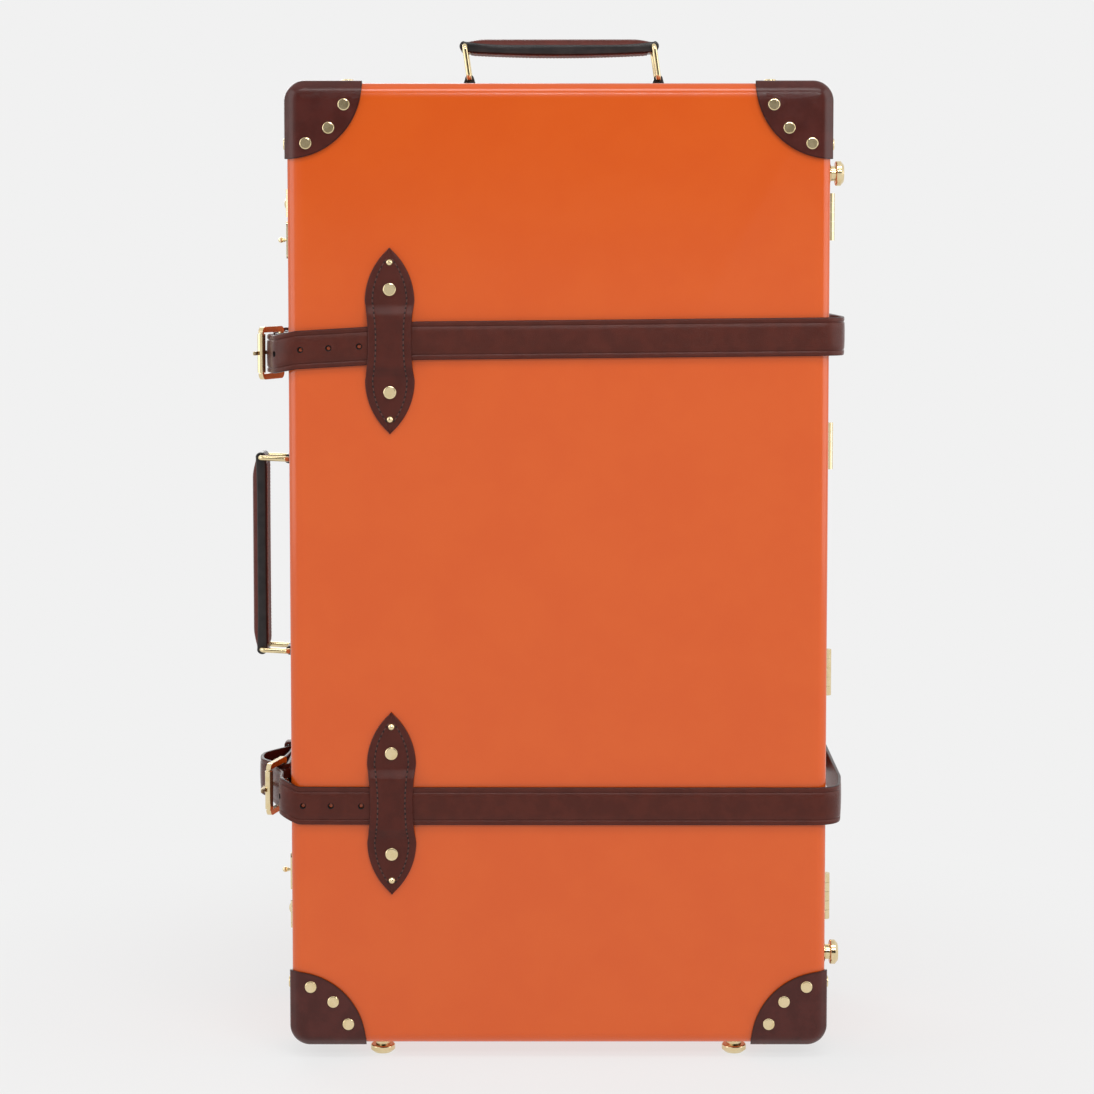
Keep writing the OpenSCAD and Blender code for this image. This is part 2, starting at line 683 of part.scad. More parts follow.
// Strap centre lines in plan. off_left is the strap's distance from the left wall at the bend.
run_y = hd + strap_gap + strap_t / 2;
front_cut_y = split_y - 25;
back_cut_y = split_y + 25;
billet_y = -hd + 29;
side_lean_out = atan2(strap_off_front - strap_off_corner, front_cut_y + run_y - strap_off_corner - edge_r);
function front_path(off_left) = let (r_r = strap_off_corner + edge_r, r_l = off_left + edge_r) concat(
    [[hw + strap_off_front, front_cut_y]],
    arc([hw - edge_r, -run_y + r_r], r_r, -side_lean_out, -90),
    arc([-hw + edge_r, -run_y + r_l], r_l, -90, -180),
    [[-hw - off_left, billet_y]]);
function back_path() = let (r_r = strap_off_back + edge_r, r_l = heel_off + edge_r) concat(
    [[hw + strap_off_front + (strap_off_back - strap_off_front) * 0.3, back_cut_y]],
    arc([hw - edge_r, run_y - r_r], r_r, 0, 90),
    arc([-hw + edge_r, run_y - r_l], r_l, 90, 180));

heel_y = -hd + heel_depth;
eye_r = bar_d / 2 + buckle_fit + strap_t / 2 + 0.1;
// The chape comes forward along the left wall, turns round the heel bar and is stitched back on itself.
function chape_path() = concat(
    [[-hw - heel_off, heel_y + chape_len + 10], [-hw - heel_off - eye_r, heel_y + 14]],
    arc([-hw - heel_off, heel_y], eye_r, 180, 360, 8),
    [[-hw - heel_off + eye_r, heel_y + 14], [-hw - heel_off + strap_t + 0.2, heel_y + chape_len]]);

module strap_back(left_z, right_z) {
    color(leather) difference() {
        union() {
            strap_run(concat(back_path(), [[-hw - heel_off, heel_y + chape_len + 5]]),
                back_line(left_z, right_z));
            translate([0, 0, left_z]) ribbon(chape_path(), strap_t, strap_w);
        }
        translate([-hw - heel_off, heel_y - 1, left_z]) cube([4 * eye_r, 16, tongue_t + 4], center = true);
    }
}

module upper_strap_back() strap_back(upper_left_z, upper_right_z);
module lower_strap_back() strap_back(lower_left_z, lower_right_z);

tongue_y = heel_y - 9;
over_heel = heel_off + eye_r + strap_t + 0.4;

// First punched hole on the front face, and how many follow towards the buckle.
first_hole_x = -(hw - first_hole_in);
module punched_holes(z, fall) {
    for (i = [0:2]) translate([first_hole_x - i * hole_pitch, -run_y, z - i * fall]) rotate([90, 0, 0])
        cylinder(d = hole_d, h = 4 * strap_t, center = true, $fn = 32);
}

module upper_strap_front() color(leather) difference() {
    strap_run(front_path(upper_off), strap_line(upper_left_z, upper_bend_z, upper_right_z, upper_off));
    punched_holes(upper_bend_z + 2.7, 1);
}
module lower_strap_front() color(leather) difference() {
    strap_run(front_path(lower_off), strap_line(lower_left_z, lower_bend_z, lower_right_z, lower_off));
    punched_holes(lower_bend_z, 0);
}

// Flexible stretch of a strap beside the hinges, between its front and back parts.
module strap_side(z) {
    color(leather) translate([0, 0, z]) ribbon(
        [[hw + strap_off_front, front_cut_y + 0.2],
         [hw + strap_off_front + (strap_off_back - strap_off_front) * 0.3, back_cut_y - 0.2]],
        strap_t, strap_w);
}
module upper_strap_side() strap_side(upper_right_z);
module lower_strap_side() strap_side(lower_right_z);

keeper_y = -hd + keeper_depth;
keeper_off = heel_off + strap_t + 0.4;
// The punched end: inside the roller bar, over the heel bar, and through the keeper.
function end_path(off_left, bulge) = [
    [-hw - off_left, billet_y + 0.2], [-hw - off_left - 0.6, billet_y + 10],
    [-hw - over_heel + 0.6, tongue_y - 3], [-hw - over_heel, tongue_y + 3],
    [-hw - over_heel - 0.4, heel_y + 3], [-hw - bulge + 2.5, -hd + 92],
    [-hw - bulge, -hd + 108], [-hw - bulge + 0.8, -hd + 120],
    [-hw - (bulge + keeper_off) / 2 - 1, keeper_y - keeper_w / 2 - 20],
    [-hw - keeper_off - 2, keeper_y - keeper_w / 2 - 8], [-hw - keeper_off, keeper_y - keeper_w / 2 - 1],
    [-hw - keeper_off, keeper_y + 26]];

module strap_end(z, off_left, bulge) {
    color(leather) translate([0, 0, z]) difference() {
        ribbon(end_path(off_left, bulge), strap_t, strap_w);
        translate([-hw - over_heel, tongue_y + 2, 0]) cube([20, 9, hole_d], center = true);
        translate([-hw - keeper_off, keeper_y + 26, 0]) rotate([0, 90, 0]) difference() {
            cube([strap_w + 2, strap_w, 20], center = true);
            translate([0, -strap_w / 2, 0]) cylinder(d = strap_w, h = 30, center = true);
        }
    }
}
module upper_strap_end() strap_end(upper_left_z, upper_off, upper_bulge);
module lower_strap_end() strap_end(lower_left_z, lower_off, lower_bulge);

// Leather keeper round the chape and the punched end.
module keeper(z) {
    inner = heel_off - strap_t / 2 - 0.4;
    outer = keeper_off + strap_t / 2 + 0.4;
    color(leather) translate([-hw - (inner + outer) / 2, keeper_y, z]) rotate([90, 0, 0])
        linear_extrude(height = keeper_w, center = true) difference() {
            rounded_rect(outer - inner + 2 * keeper_t, strap_w + 1 + 2 * keeper_t, keeper_t);
            square([outer - inner, strap_w + 1], center = true);
        }
}
module upper_keeper() keeper(upper_left_z);
module lower_keeper() keeper(lower_left_z);

roller_len = strap_w + 0.6;
arm_w = (buckle_w - strap_w - 2.8) / 2;

// Buckle frame: a flat ring with round corners, whose two bars are turned round.
module buckle_frame(z, roller_off) {
    near = [-hw - roller_off, -hd + roller_depth];
    far = [-hw - heel_off, heel_y];
    span = norm(far - near);
    lean = atan2(far[1] - near[1], far[0] - near[0]);
    color(brass) translate([near[0], near[1], z]) rotate([0, 0, lean]) {
        difference() {
            translate([span / 2, 0, 0]) rotate([90, 0, 0]) linear_extrude(height = bar_d - 0.4, center = true)
                difference() {
                    rounded_rect(span + bar_d, buckle_w, 5.5);
                    rounded_rect(span - bar_d, buckle_w - 2 * arm_w, 2.5);
                }
            for (x = [0, span]) translate([x, 0, 0])
                cube([2 * bar_d, 2 * bar_d, buckle_w - 2 * arm_w - 2 * lap], center = true);
        }
        for (x = [0, span]) translate([x, 0, 0]) cylinder(d = bar_d, h = buckle_w - 2 * arm_w, center = true);
    }
}
module upper_buckle_frame() buckle_frame(upper_left_z, upper_roller_off);
module lower_buckle_frame() buckle_frame(lower_left_z, lower_roller_off);

module roller(z, roller_off) {
    color(brass) translate([-hw - roller_off, -hd + roller_depth, z]) difference() {
        cylinder(d = roller_d, h = roller_len, center = true);
        cylinder(d = bar_d + 2 * buckle_fit, h = buckle_w, center = true);
    }
}
module upper_roller() roller(upper_left_z, upper_roller_off);
module lower_roller() roller(lower_left_z, lower_roller_off);

// Tongue: an eye on the heel bar, a neck through the punched end and a shank that rests on the roller.
module tongue(z, roller_off) {
    eye_out = bar_d / 2 + buckle_fit + 1.5;
    clear = over_heel - heel_off + strap_t / 2 + 0.5;
    rest = roller_off - heel_off + roller_d / 2 + 0.3;
    roller_y = roller_depth - heel_depth;
    tip_y = roller_y - 5;
    neck_y = tongue_y - heel_y;
    color(brass) translate([-hw - heel_off, heel_y, z]) difference() {
        union() {
            cylinder(r = eye_out, h = tongue_t, center = true);
            linear_extrude(height = tongue_t, center = true) polygon([
                [0, -eye_out + 0.5], [-2, neck_y - 1.2], [-clear - 1, neck_y - 1.6],
                [-rest, roller_y], [-rest, tip_y],
                [-rest - tongue_t * 0.8, tip_y - 1], [-rest - tongue_t, tip_y + 1],
                [-clear - tongue_t, neck_y], [-clear - 1, neck_y + 1.6], [-3, neck_y + 1.6],
                [-eye_out + 0.3, -0.6], [-eye_out * 0.75, -eye_out * 0.5]]);
        }
        cylinder(r = bar_d / 2 + buckle_fit, h = 2 * tongue_t, center = true);
    }
}
module upper_tongue() tongue(upper_left_z, upper_roller_off);
module lower_tongue() tongue(lower_left_z, lower_roller_off);

// Outline of a strap loop: pointed at both ends and drawn in over the strap.
module loop_outline() {
    shoulder = loop_wide_pitch / 2;
    half = loop_w / 2;
    tip = loop_len / 2 - shoulder;
    tip_r = (tip * tip + half * half) / (2 * half);
    dip = (loop_w - loop_waist) / 2;
    waist_r = (shoulder * shoulder + dip * dip) / (2 * dip);
    for (s = [-1, 1]) translate([0, s * shoulder]) intersection() {
        translate([tip_r - half, 0]) circle(tip_r, $fn = 128);
        translate([half - tip_r, 0]) circle(tip_r, $fn = 128);
        translate([-half, s > 0 ? 0 : -tip]) square([loop_w, tip]);
    }
    difference() {
        square([loop_w, 2 * shoulder], center = true);
        for (s = [-1, 1]) translate([s * (loop_waist / 2 + waist_r), 0]) circle(waist_r, $fn = 256);
    }
}

// A loop on a wall with z outwards: it lies flat at its tips and arches over the strap.
module strap_loop() {
    rise = strap_gap + strap_t + 0.3;
    half_flat = strap_w / 2 + 4.5;
    foot_at = half_flat + 9;
    intersection() {
        linear_extrude(height = rise + loop_t + 5) loop_outline();
        rotate([0, 90, 0]) rotate([0, 0, 90]) linear_extrude(height = loop_w + 2, center = true) polygon([
            [-loop_len, 0], [-foot_at, 0], [-half_flat, rise], [half_flat, rise], [foot_at, 0], [loop_len, 0],
            [loop_len, loop_t], [foot_at + 0.7, loop_t], [half_flat + 0.7, rise + loop_t],
            [-half_flat - 0.7, rise + loop_t], [-foot_at - 0.7, loop_t], [-loop_len, loop_t]]);
    }
}

upper_loop_z = (upper_bend_z + upper_right_z) / 2 + loop_lift;
lower_loop_z = (lower_bend_z + lower_right_z) / 2 + loop_lift;
function back_loop_z(left_z, right_z) = left_z + (right_z - left_z) * loop_in / case_w;
upper_back_loop_z = back_loop_z(upper_left_z, upper_right_z);
lower_back_loop_z = back_loop_z(lower_left_z, lower_right_z);

module loop_fixings() {
    for (s = [-1, 1]) {
        translate([0, s * loop_rivet_pitch / 2, loop_t]) rivet_head(loop_rivet_d, 1.5);
        translate([0, s * loop_nail_pitch / 2, loop_t]) rotate_extrude()
            polygon(concat([[0, 0]], arc([0, -loop_nail_d * 0.1], loop_nail_d / 2, 12, 90, 5)));
    }
}

module upper_loop() color(leather) on_front(-loop_x, upper_loop_z) strap_loop();
module lower_loop() color(leather) on_front(-loop_x, lower_loop_z) strap_loop();
module upper_back_loop() color(leather) on_back(-loop_x, upper_back_loop_z) strap_loop();
module lower_back_loop() color(leather) on_back(-loop_x, lower_back_loop_z) strap_loop();
module loop_rivets() color(brass)
    for (z = [upper_loop_z, lower_loop_z]) on_front(-loop_x, z) loop_fixings();
module back_loop_rivets() color(brass)
    for (z = [upper_back_loop_z, lower_back_loop_z]) on_back(-loop_x, z) loop_fixings();

at_case() tray_shell();
at_case() tray_lining();
at_case() tray_rim();
at_case() packing_straps();
at_case() handle_backing_plates();
at_case() tray_corner_top_left();
at_case() tray_corner_top_right();
at_case() tray_corner_bottom_left();
at_case() tray_corner_bottom_right();
at_case() tray_corner_rivets();
at_case() tray_feet();
at_case() tray_hinge_leaves();
at_case() hinge_pins();
at_case() upper_lock_box();
at_case() lower_lock_box();
at_case() top_handle_brackets();
at_case() side_handle_brackets();
at_case() upper_strap_back();
at_case() lower_strap_back();
at_case() upper_strap_side();
at_case() lower_strap_side();
at_case() upper_buckle_frame();
at_case() lower_buckle_frame();
at_case() upper_keeper();
at_case() lower_keeper();
at_case() upper_back_loop();
at_case() lower_back_loop();
at_case() back_loop_rivets();
at_case() lid_shell();
at_case() lid_lining();
at_case() lid_corner_top_left();
at_case() lid_corner_top_right();
at_case() lid_corner_bottom_left();
at_case() lid_corner_bottom_right();
at_case() lid_corner_rivets();
at_case() lid_feet();
at_case() lid_hinge_leaves();
at_case() upper_hasp_plate();
at_case() lower_hasp_plate();
at_case() upper_strap_front();
at_case() lower_strap_front();
at_case() upper_strap_end();
at_case() lower_strap_end();
at_case() upper_loop();
at_case() lower_loop();
at_case() loop_rivets();
at_case() upper_hasp();
at_case() lower_hasp();
at_case() upper_lock_slide();
at_case() lower_lock_slide();
at_case() top_link_left();
at_case() top_link_right();
at_case() top_grip();
at_case() side_link_upper();
at_case() side_link_lower();
at_case() side_grip();
at_case() upper_tongue();
at_case() lower_tongue();
at_case() upper_roller();
at_case() lower_roller();
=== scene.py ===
# Suitcase of vulcanised fibre with leather corners, two buckled straps and brass fittings.
# It is put together here in the order of the workshop: camera and light, the fibre shells and
# their lining, corners, brass fittings, handles, strap loops, straps, keepers.
import math

import bmesh
import bpy
from mathutils import Matrix, Vector


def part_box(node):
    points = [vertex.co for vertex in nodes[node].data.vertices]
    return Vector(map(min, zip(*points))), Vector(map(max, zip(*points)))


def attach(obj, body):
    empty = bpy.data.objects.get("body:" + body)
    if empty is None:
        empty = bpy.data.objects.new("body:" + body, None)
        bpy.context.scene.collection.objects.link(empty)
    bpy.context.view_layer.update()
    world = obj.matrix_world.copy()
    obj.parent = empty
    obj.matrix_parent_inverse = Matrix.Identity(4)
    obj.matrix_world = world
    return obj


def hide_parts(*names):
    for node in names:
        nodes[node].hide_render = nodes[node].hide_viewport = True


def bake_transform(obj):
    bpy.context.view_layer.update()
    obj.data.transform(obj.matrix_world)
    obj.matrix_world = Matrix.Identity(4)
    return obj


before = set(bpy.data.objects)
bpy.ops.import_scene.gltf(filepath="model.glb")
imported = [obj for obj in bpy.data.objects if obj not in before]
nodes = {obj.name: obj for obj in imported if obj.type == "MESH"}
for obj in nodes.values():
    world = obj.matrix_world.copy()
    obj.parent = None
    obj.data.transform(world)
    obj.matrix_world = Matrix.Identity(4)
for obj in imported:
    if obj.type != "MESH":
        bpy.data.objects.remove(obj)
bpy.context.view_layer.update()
MM = 0.001

# Camera
# The case is seen from the front, from a little above its middle and just left of it,
# with a long lens. The lens is shifted so that the upright edges stay nearly parallel.
bpy.context.scene.view_settings.view_transform = "Standard"

lid_low, lid_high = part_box("lid_shell")
case_x = (lid_low.x + lid_high.x) / 2
mid_z = (lid_low.z + lid_high.z) / 2
half_d = -lid_low.y
CAMERA_LEFT, CAMERA_ABOVE, CAMERA_AWAY = 9.2 * MM, 238 * MM, 2.1
LOOKS_DOWN = 4.05
camera_data = bpy.data.cameras.new("camera")
camera_data.sensor_width = 36
camera_data.lens = 88.4
camera_data.shift_y = -0.083
camera_data.clip_end = 30
camera = bpy.data.objects.new("camera", camera_data)
bpy.context.scene.collection.objects.link(camera)
camera.location = (case_x - CAMERA_LEFT, -half_d - CAMERA_AWAY, mid_z + CAMERA_ABOVE)
camera.rotation_euler = (math.radians(90 - LOOKS_DOWN), 0, 0)
bpy.context.scene.camera = camera


# Light and floor
# Plain soft studio light: a long soft box in front at the right, a high one above the front,
# weaker ones round the case and an even pale surround. The floor is pale paper that carries
# only the case's own shadow.
def srgb(code):
    """A colour card's hex value, turned to linear red, green, blue and full alpha."""
    parts = [int(code[i:i + 2], 16) / 255 for i in (1, 3, 5)]
    return [c / 12.92 if c <= 0.04045 else ((c + 0.055) / 1.055) ** 2.4 for c in parts] + [1]


def add_node(tree, kind, settings=None, sockets=None):
    """A shader node with its settings; a socket gets a value, or a link from another socket."""
    node = tree.nodes.new(kind)
    for name, value in (settings or {}).items():
        setattr(node, name, value)
    for name, value in (sockets or {}).items():
        if isinstance(value, bpy.types.NodeSocket):
            tree.links.new(value, node.inputs[name])
        else:
            node.inputs[name].default_value = value
    return node


PAPER = "#F1F1F1"
centre = Vector((case_x, 0, mid_z))


def soft_box(name, place, size, watts):
    """A rectangular lamp that faces the middle of the case. Its place and size are in metres."""
    data = bpy.data.lights.new(name, "AREA")
    data.shape = "RECTANGLE"
    data.size, data.size_y = size
    data.energy = watts
    lamp = bpy.data.objects.new(name, data)
    bpy.context.scene.collection.objects.link(lamp)
    lamp.location = place
    lamp.rotation_euler = (centre - Vector(place)).to_track_quat("-Z", "Y").to_euler()


soft_box("key_box", (0.7, -2.3, 1.75), (1.9, 0.22), 21)
soft_box("left_box", (-2.1, -0.6, 1.1), (1.5, 2.0), 14)
soft_box("right_box", (2.1, -0.4, 1.1), (1.5, 2.0), 14)
soft_box("top_box", (0.2, -1.1, 2.3), (1.5, 0.5), 13)
soft_box("back_box", (-0.9, 2.2, 1.6), (1.8, 1.4), 24)

# The surround lights the case dimly. The camera and all reflections see the paper's colour in
# its place, and reflections also the dark end of the studio, in front and above the floor.
DARK_END = (0.25, -0.97, 0)

world = bpy.data.worlds.new("studio")
bpy.context.scene.world = world
world.use_nodes = True
tree = world.node_tree
tree.nodes.clear()
path = add_node(tree, "ShaderNodeLightPath")
seen = add_node(tree, "ShaderNodeMath", {"operation": "MAXIMUM"},
                {0: path.outputs["Is Camera Ray"], 1: path.outputs["Is Glossy Ray"]})
seen = add_node(tree, "ShaderNodeMath", {"operation": "MAXIMUM"},
                {0: seen.outputs[0], 1: path.outputs["Is Transmission Ray"]})
surround = add_node(tree, "ShaderNodeBackground", None,
                    {"Color": srgb("#FFFFFF"), "Strength": 0.31})
backdrop = add_node(tree, "ShaderNodeBackground", None, {"Color": srgb(PAPER), "Strength": 1.0})
looking = add_node(tree, "ShaderNodeTexCoord").outputs["Generated"]
towards = add_node(tree, "ShaderNodeVectorMath", {"operation": "DOT_PRODUCT"},
                   {0: looking, 1: DARK_END})
dark_end = add_node(tree, "ShaderNodeMapRange", {"interpolation_type": "SMOOTHSTEP"},
                    {"Value": towards.outputs["Value"], "From Min": 0.62, "From Max": 0.92})
upward = add_node(tree, "ShaderNodeSeparateXYZ", None, {0: looking}).outputs["Z"]
rising = add_node(tree, "ShaderNodeMapRange", {"interpolation_type": "SMOOTHSTEP"},
                  {"Value": upward, "From Min": 0.005, "From Max": 0.05})
above = add_node(tree, "ShaderNodeMath", {"operation": "MULTIPLY"},
                 {0: dark_end.outputs[0], 1: rising.outputs[0]})
mirrored = add_node(tree, "ShaderNodeMath", {"operation": "MULTIPLY"},
                    {0: above.outputs[0], 1: path.outputs["Is Glossy Ray"]})
studio_end = add_node(tree, "ShaderNodeBackground", None,
                      {"Color": srgb("#171413"), "Strength": 1.0})
room = add_node(tree, "ShaderNodeMixShader", None,
                {0: mirrored.outputs[0], 1: backdrop.outputs[0], 2: studio_end.outputs[0]})
mix = add_node(tree, "ShaderNodeMixShader", None,
               {0: seen.outputs[0], 1: surround.outputs[0], 2: room.outputs[0]})
add_node(tree, "ShaderNodeOutputWorld", None, {"Surface": mix.outputs[0]})

# Near the case the paper is partly lit by the lamps, so that it takes the shadow. Further off
# it is the plain backdrop.
bpy.ops.object.select_all(action="DESELECT")
bpy.ops.mesh.primitive_circle_add(vertices=96, radius=2.4, fill_type="NGON",
                                  location=(0, 0, -0.5 * MM))
floor = bpy.context.object
floor.name = "floor"
paper = bpy.data.materials.new("matt_background_paper")
paper.use_nodes = True
tree = paper.node_tree
tree.nodes.clear()
coords = add_node(tree, "ShaderNodeTexCoord")
spot = add_node(tree, "ShaderNodeVectorMath", {"operation": "LENGTH"},
                {0: coords.outputs["Object"]})
fade = add_node(tree, "ShaderNodeMapRange", {"interpolation_type": "SMOOTHSTEP"},
                {"Value": spot.outputs["Value"], "From Min": 0.25, "From Max": 0.75,
                 "To Min": 0.78, "To Max": 1.0})
lit = add_node(tree, "ShaderNodeBsdfDiffuse", None, {"Color": srgb("#F4F4F4")})
plain = add_node(tree, "ShaderNodeEmission", None, {"Color": srgb(PAPER)})
mix = add_node(tree, "ShaderNodeMixShader", None,
               {0: fade.outputs[0], 1: lit.outputs[0], 2: plain.outputs[0]})
add_node(tree, "ShaderNodeOutputMaterial", None, {"Surface": mix.outputs[0]})
floor.data.materials.append(paper)


# Shells
# Two tubs of vulcanised fibre, the shallow lid in front and the deep tray behind. The board is
# pressed with round edges, towards which its big faces roll off, and lacquered orange. The
# coat has fine orange peel, over slow waves in the board.
def new_material(name, colour, metallic, roughness):
    """A named material: its tree, its shader and the object coordinates, in metres."""
    material = bpy.data.materials.new(name)
    material.use_nodes = True
    tree = material.node_tree
    shader = tree.nodes["Principled BSDF"]
    shader.inputs["Base Color"].default_value = srgb(colour)
    shader.inputs["Metallic"].default_value = metallic
    shader.inputs["Roughness"].default_value = roughness
    return material, tree, shader, add_node(tree, "ShaderNodeTexCoord").outputs["Object"]


def noise(tree, vector, grain_mm, detail, roughness=0.6, stretch=(1, 1, 1)):
    """Noise with grains of about the given size. A stretch below 1 draws them out that way."""
    mapped = add_node(tree, "ShaderNodeMapping", None, {"Vector": vector, "Scale": stretch})
    return add_node(tree, "ShaderNodeTexNoise", None,
                    {"Vector": mapped.outputs[0], "Scale": 1 / (grain_mm * MM),
                     "Detail": detail, "Roughness": roughness}).outputs["Fac"]


def blend_colours(tree, amount, low, high, start, end):
    """The low colour where the amount is at its start, and the high one where it is at its end.
    The Mix node's two colours are its sockets 6 and 7, and the mixed one is its output 2."""
    ramp = add_node(tree, "ShaderNodeMapRange", {"interpolation_type": "SMOOTHSTEP"},
                    {"Value": amount, "From Min": start, "From Max": end})
    mix = add_node(tree, "ShaderNodeMix", {"data_type": "RGBA"}, {0: ramp.outputs[0]})
    for side, colour in ((6, low), (7, high)):
        if isinstance(colour, str):
            mix.inputs[side].default_value = srgb(colour)
        else:
            tree.links.new(colour, mix.inputs[side])
    return mix.outputs[2]


def roughen(tree, shader, height, depth_mm, strength=1.0, under=None):
    """Raises and lowers the surface by the height, and can build on a coarser relief."""
    sockets = {"Height": height, "Strength": strength, "Distance": depth_mm * MM}
    if under is not None:
        sockets["Normal"] = under
    bump = add_node(tree, "ShaderNodeBump", None, sockets)
    tree.links.new(bump.outputs[0], shader.inputs["Normal"])
    return bump.outputs[0]


def lacquer(tree, shader, normal, specular, weight, roughness):
    """A thin clear coat that follows the relief, over a duller ground."""
    shader.inputs["Specular IOR Level"].default_value = specular
    shader.inputs["Coat Weight"].default_value = weight
    shader.inputs["Coat Roughness"].default_value = roughness
    tree.links.new(normal, shader.inputs["Coat Normal"])


def coated_fibre():
    """Orange lacquer on board: flecked and clouded a little, with orange peel of 1.5 mm in a
    clear coat, over slow waves from the pressing."""
    material, tree, shader, coords = new_material("coated_vulcanised_fibre", "#D75A25", 0, 0.27)
    cloud = noise(tree, coords, 60, 3)
    fleck = noise(tree, coords, 1.6, 2, 0.7, (1, 1, 0.5))
    colour = blend_colours(tree, cloud, "#DB5917", "#DD5C19", 0.35, 0.65)
    colour = blend_colours(tree, fleck, colour, "#E26625", 0.62, 0.9)
    tree.links.new(colour, shader.inputs["Base Color"])
    wave = roughen(tree, shader, noise(tree, coords, 40, 1), 0.2, 0.3)
    peel = roughen(tree, shader, noise(tree, coords, 1.5, 2, 0.5, (1, 1, 0.45)), 0.05, 0.6, wave)
    lacquer(tree, shader, peel, 0.08, 0.85, 0.15)
    return material


def finish_shape(piece, *modifiers):
    """Applies the modifiers in turn and shades the piece smooth."""
    bpy.ops.object.select_all(action="DESELECT")
    piece.select_set(True)
    bpy.context.view_layer.objects.active = piece
    for kind, settings in modifiers:
        modifier = piece.modifiers.new(kind.lower(), kind)
        for name, value in settings.items():
            setattr(modifier, name, value)
        bpy.ops.object.modifier_apply(modifier=modifier.name)
    bpy.ops.object.shade_smooth_by_angle(angle=math.radians(35))
    return piece


def take_over(piece, body, slot, *replaced):
    """Puts a piece on its body, in place of the CAD nodes that it stands for."""
    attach(piece, body)
    if replaced:
        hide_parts(*replaced)


half_w = (lid_high.x - lid_low.x) / 2
half_h = (lid_high.z - lid_low.z) / 2

# Lengths from here on are in millimetres: the radius of the shell's pressed edge, how far in
# its face starts to roll off and by how much, and where the face is cut to take the roll.
EDGE_R = 8.0
ROLL_W = 14.0
ROLL_DIP = 2.6
ROLL_CUTS = (ROLL_W, 12.0, 10.0, EDGE_R + 0.01)


def roll_edges(name, body, slot, material, skins="outer"):
    """A copy of a CAD piece whose big face rolls off towards the edges, as pressed board does.
    The dip fades out round the pressed edge, where the side wall starts. It moves the outer
    skin of a shell, and both skins of a piece that lies on it."""
    bpy.ops.object.select_all(action="DESELECT")
    piece = bpy.data.objects.new("rolled_" + name, nodes[name].data.copy())
    bpy.context.scene.collection.objects.link(piece)
    piece.select_set(True)
    bpy.context.view_layer.objects.active = piece
    bpy.ops.object.mode_set(mode="EDIT")
    bpy.ops.mesh.customdata_custom_splitnormals_clear()
    bpy.ops.mesh.select_all(action="SELECT")
    bpy.ops.mesh.remove_doubles(threshold=0.005 * MM)
    for inside in ROLL_CUTS:
        for side in (-1, 1):
            upright = (case_x + side * (half_w - inside * MM), 0, 0)
            level = (0, 0, mid_z + side * (half_h - inside * MM))
            for place, way in ((upright, (1, 0, 0)), (level, (0, 0, 1))):
                bpy.ops.mesh.select_all(action="SELECT")
                bpy.ops.mesh.bisect(plane_co=place, plane_no=way, threshold=0.002 * MM)
    bpy.ops.object.mode_set(mode="OBJECT")
    facing = -1 if body == "lid" else 1
    roll, edge = ROLL_W * MM, EDGE_R * MM
    moves = []
    for vertex in piece.data.vertices:
        across = vertex.co - centre
        inside = max(0, min(half_w - abs(across.x), half_h - abs(across.z)))
        below = half_d - facing * across.y
        outer = vertex.normal.dot(across) > 0
        if inside < roll and below < edge and (outer or skins == "both"):
            dip = ROLL_DIP * MM * (1 - inside / roll) ** 2 * min(1, 1 - below / edge)
            moves.append((vertex, -facing * dip))
    for vertex, move in moves:
        vertex.co.y += move
    piece.data.materials.clear()
    piece.data.materials.append(material)
    take_over(finish_shape(piece), body, slot, name)


fibre = coated_fibre()
roll_edges("lid_shell", "lid", "fibre", fibre)
roll_edges("tray_shell", "tray", "fibre", fibre)


# Lining, rim and packing straps
# Both halves are lined with glued cotton twill. A varnished ash rim stiffens the tray's mouth,
# two webbing straps with slide buckles hold the clothes, and steel plates back the handles.
TWILL_TURN = 0.785
WAVE_LENGTH = 0.314


def cotton_twill(name, thread_mm, colour, dark):
    """Crossed threads, drawn coarse enough to show, with a soft fuzzy surface. The wave texture
    repeats once in its wave length at a scale of 1."""
    material, tree, shader, coords = new_material(name, colour, 0, 0.9)
    shader.inputs["Sheen Weight"].default_value = 0.25
    heights = []
    for turn in (TWILL_TURN, -TWILL_TURN):
        turned = add_node(tree, "ShaderNodeMapping", None,
                          {"Vector": coords, "Rotation": (turn, turn, turn)})
        wave = add_node(tree, "ShaderNodeTexWave", {"wave_profile": "SIN"},
                        {"Vector": turned.outputs[0], "Scale": WAVE_LENGTH / (thread_mm * MM),
                         "Distortion": 0.4, "Detail": 1.0})
        heights.append(wave.outputs["Fac"])
    weave = add_node(tree, "ShaderNodeMath", {"operation": "MULTIPLY"},
                     {0: heights[0], 1: heights[1]}).outputs[0]
    tree.links.new(blend_colours(tree, weave, dark, colour, 0.0, 0.5),
                   shader.inputs["Base Color"])
    roughen(tree, shader, weave, 0.15, 0.6)
    return material


def varnished_ash():
    """Pale wood with long grain lines along each rail, under satin varnish."""
    material, tree, shader, coords = new_material("varnished_ash", "#B98A58", 0, 0.35)
    grain = noise(tree, coords, 3.5, 4, 0.65, (0.12, 1.6, 0.12))
    tree.links.new(blend_colours(tree, grain, "#9A6C40", "#C99C68", 0.35, 0.65),
                   shader.inputs["Base Color"])
    roughen(tree, shader, grain, 0.1, 0.3)
    return material


def dress(material, *names):
    """Gives CAD nodes their material in place of the plain one."""
    for name in names:
        data = nodes[name].data
        data.materials.clear()
        data.materials.append(material)


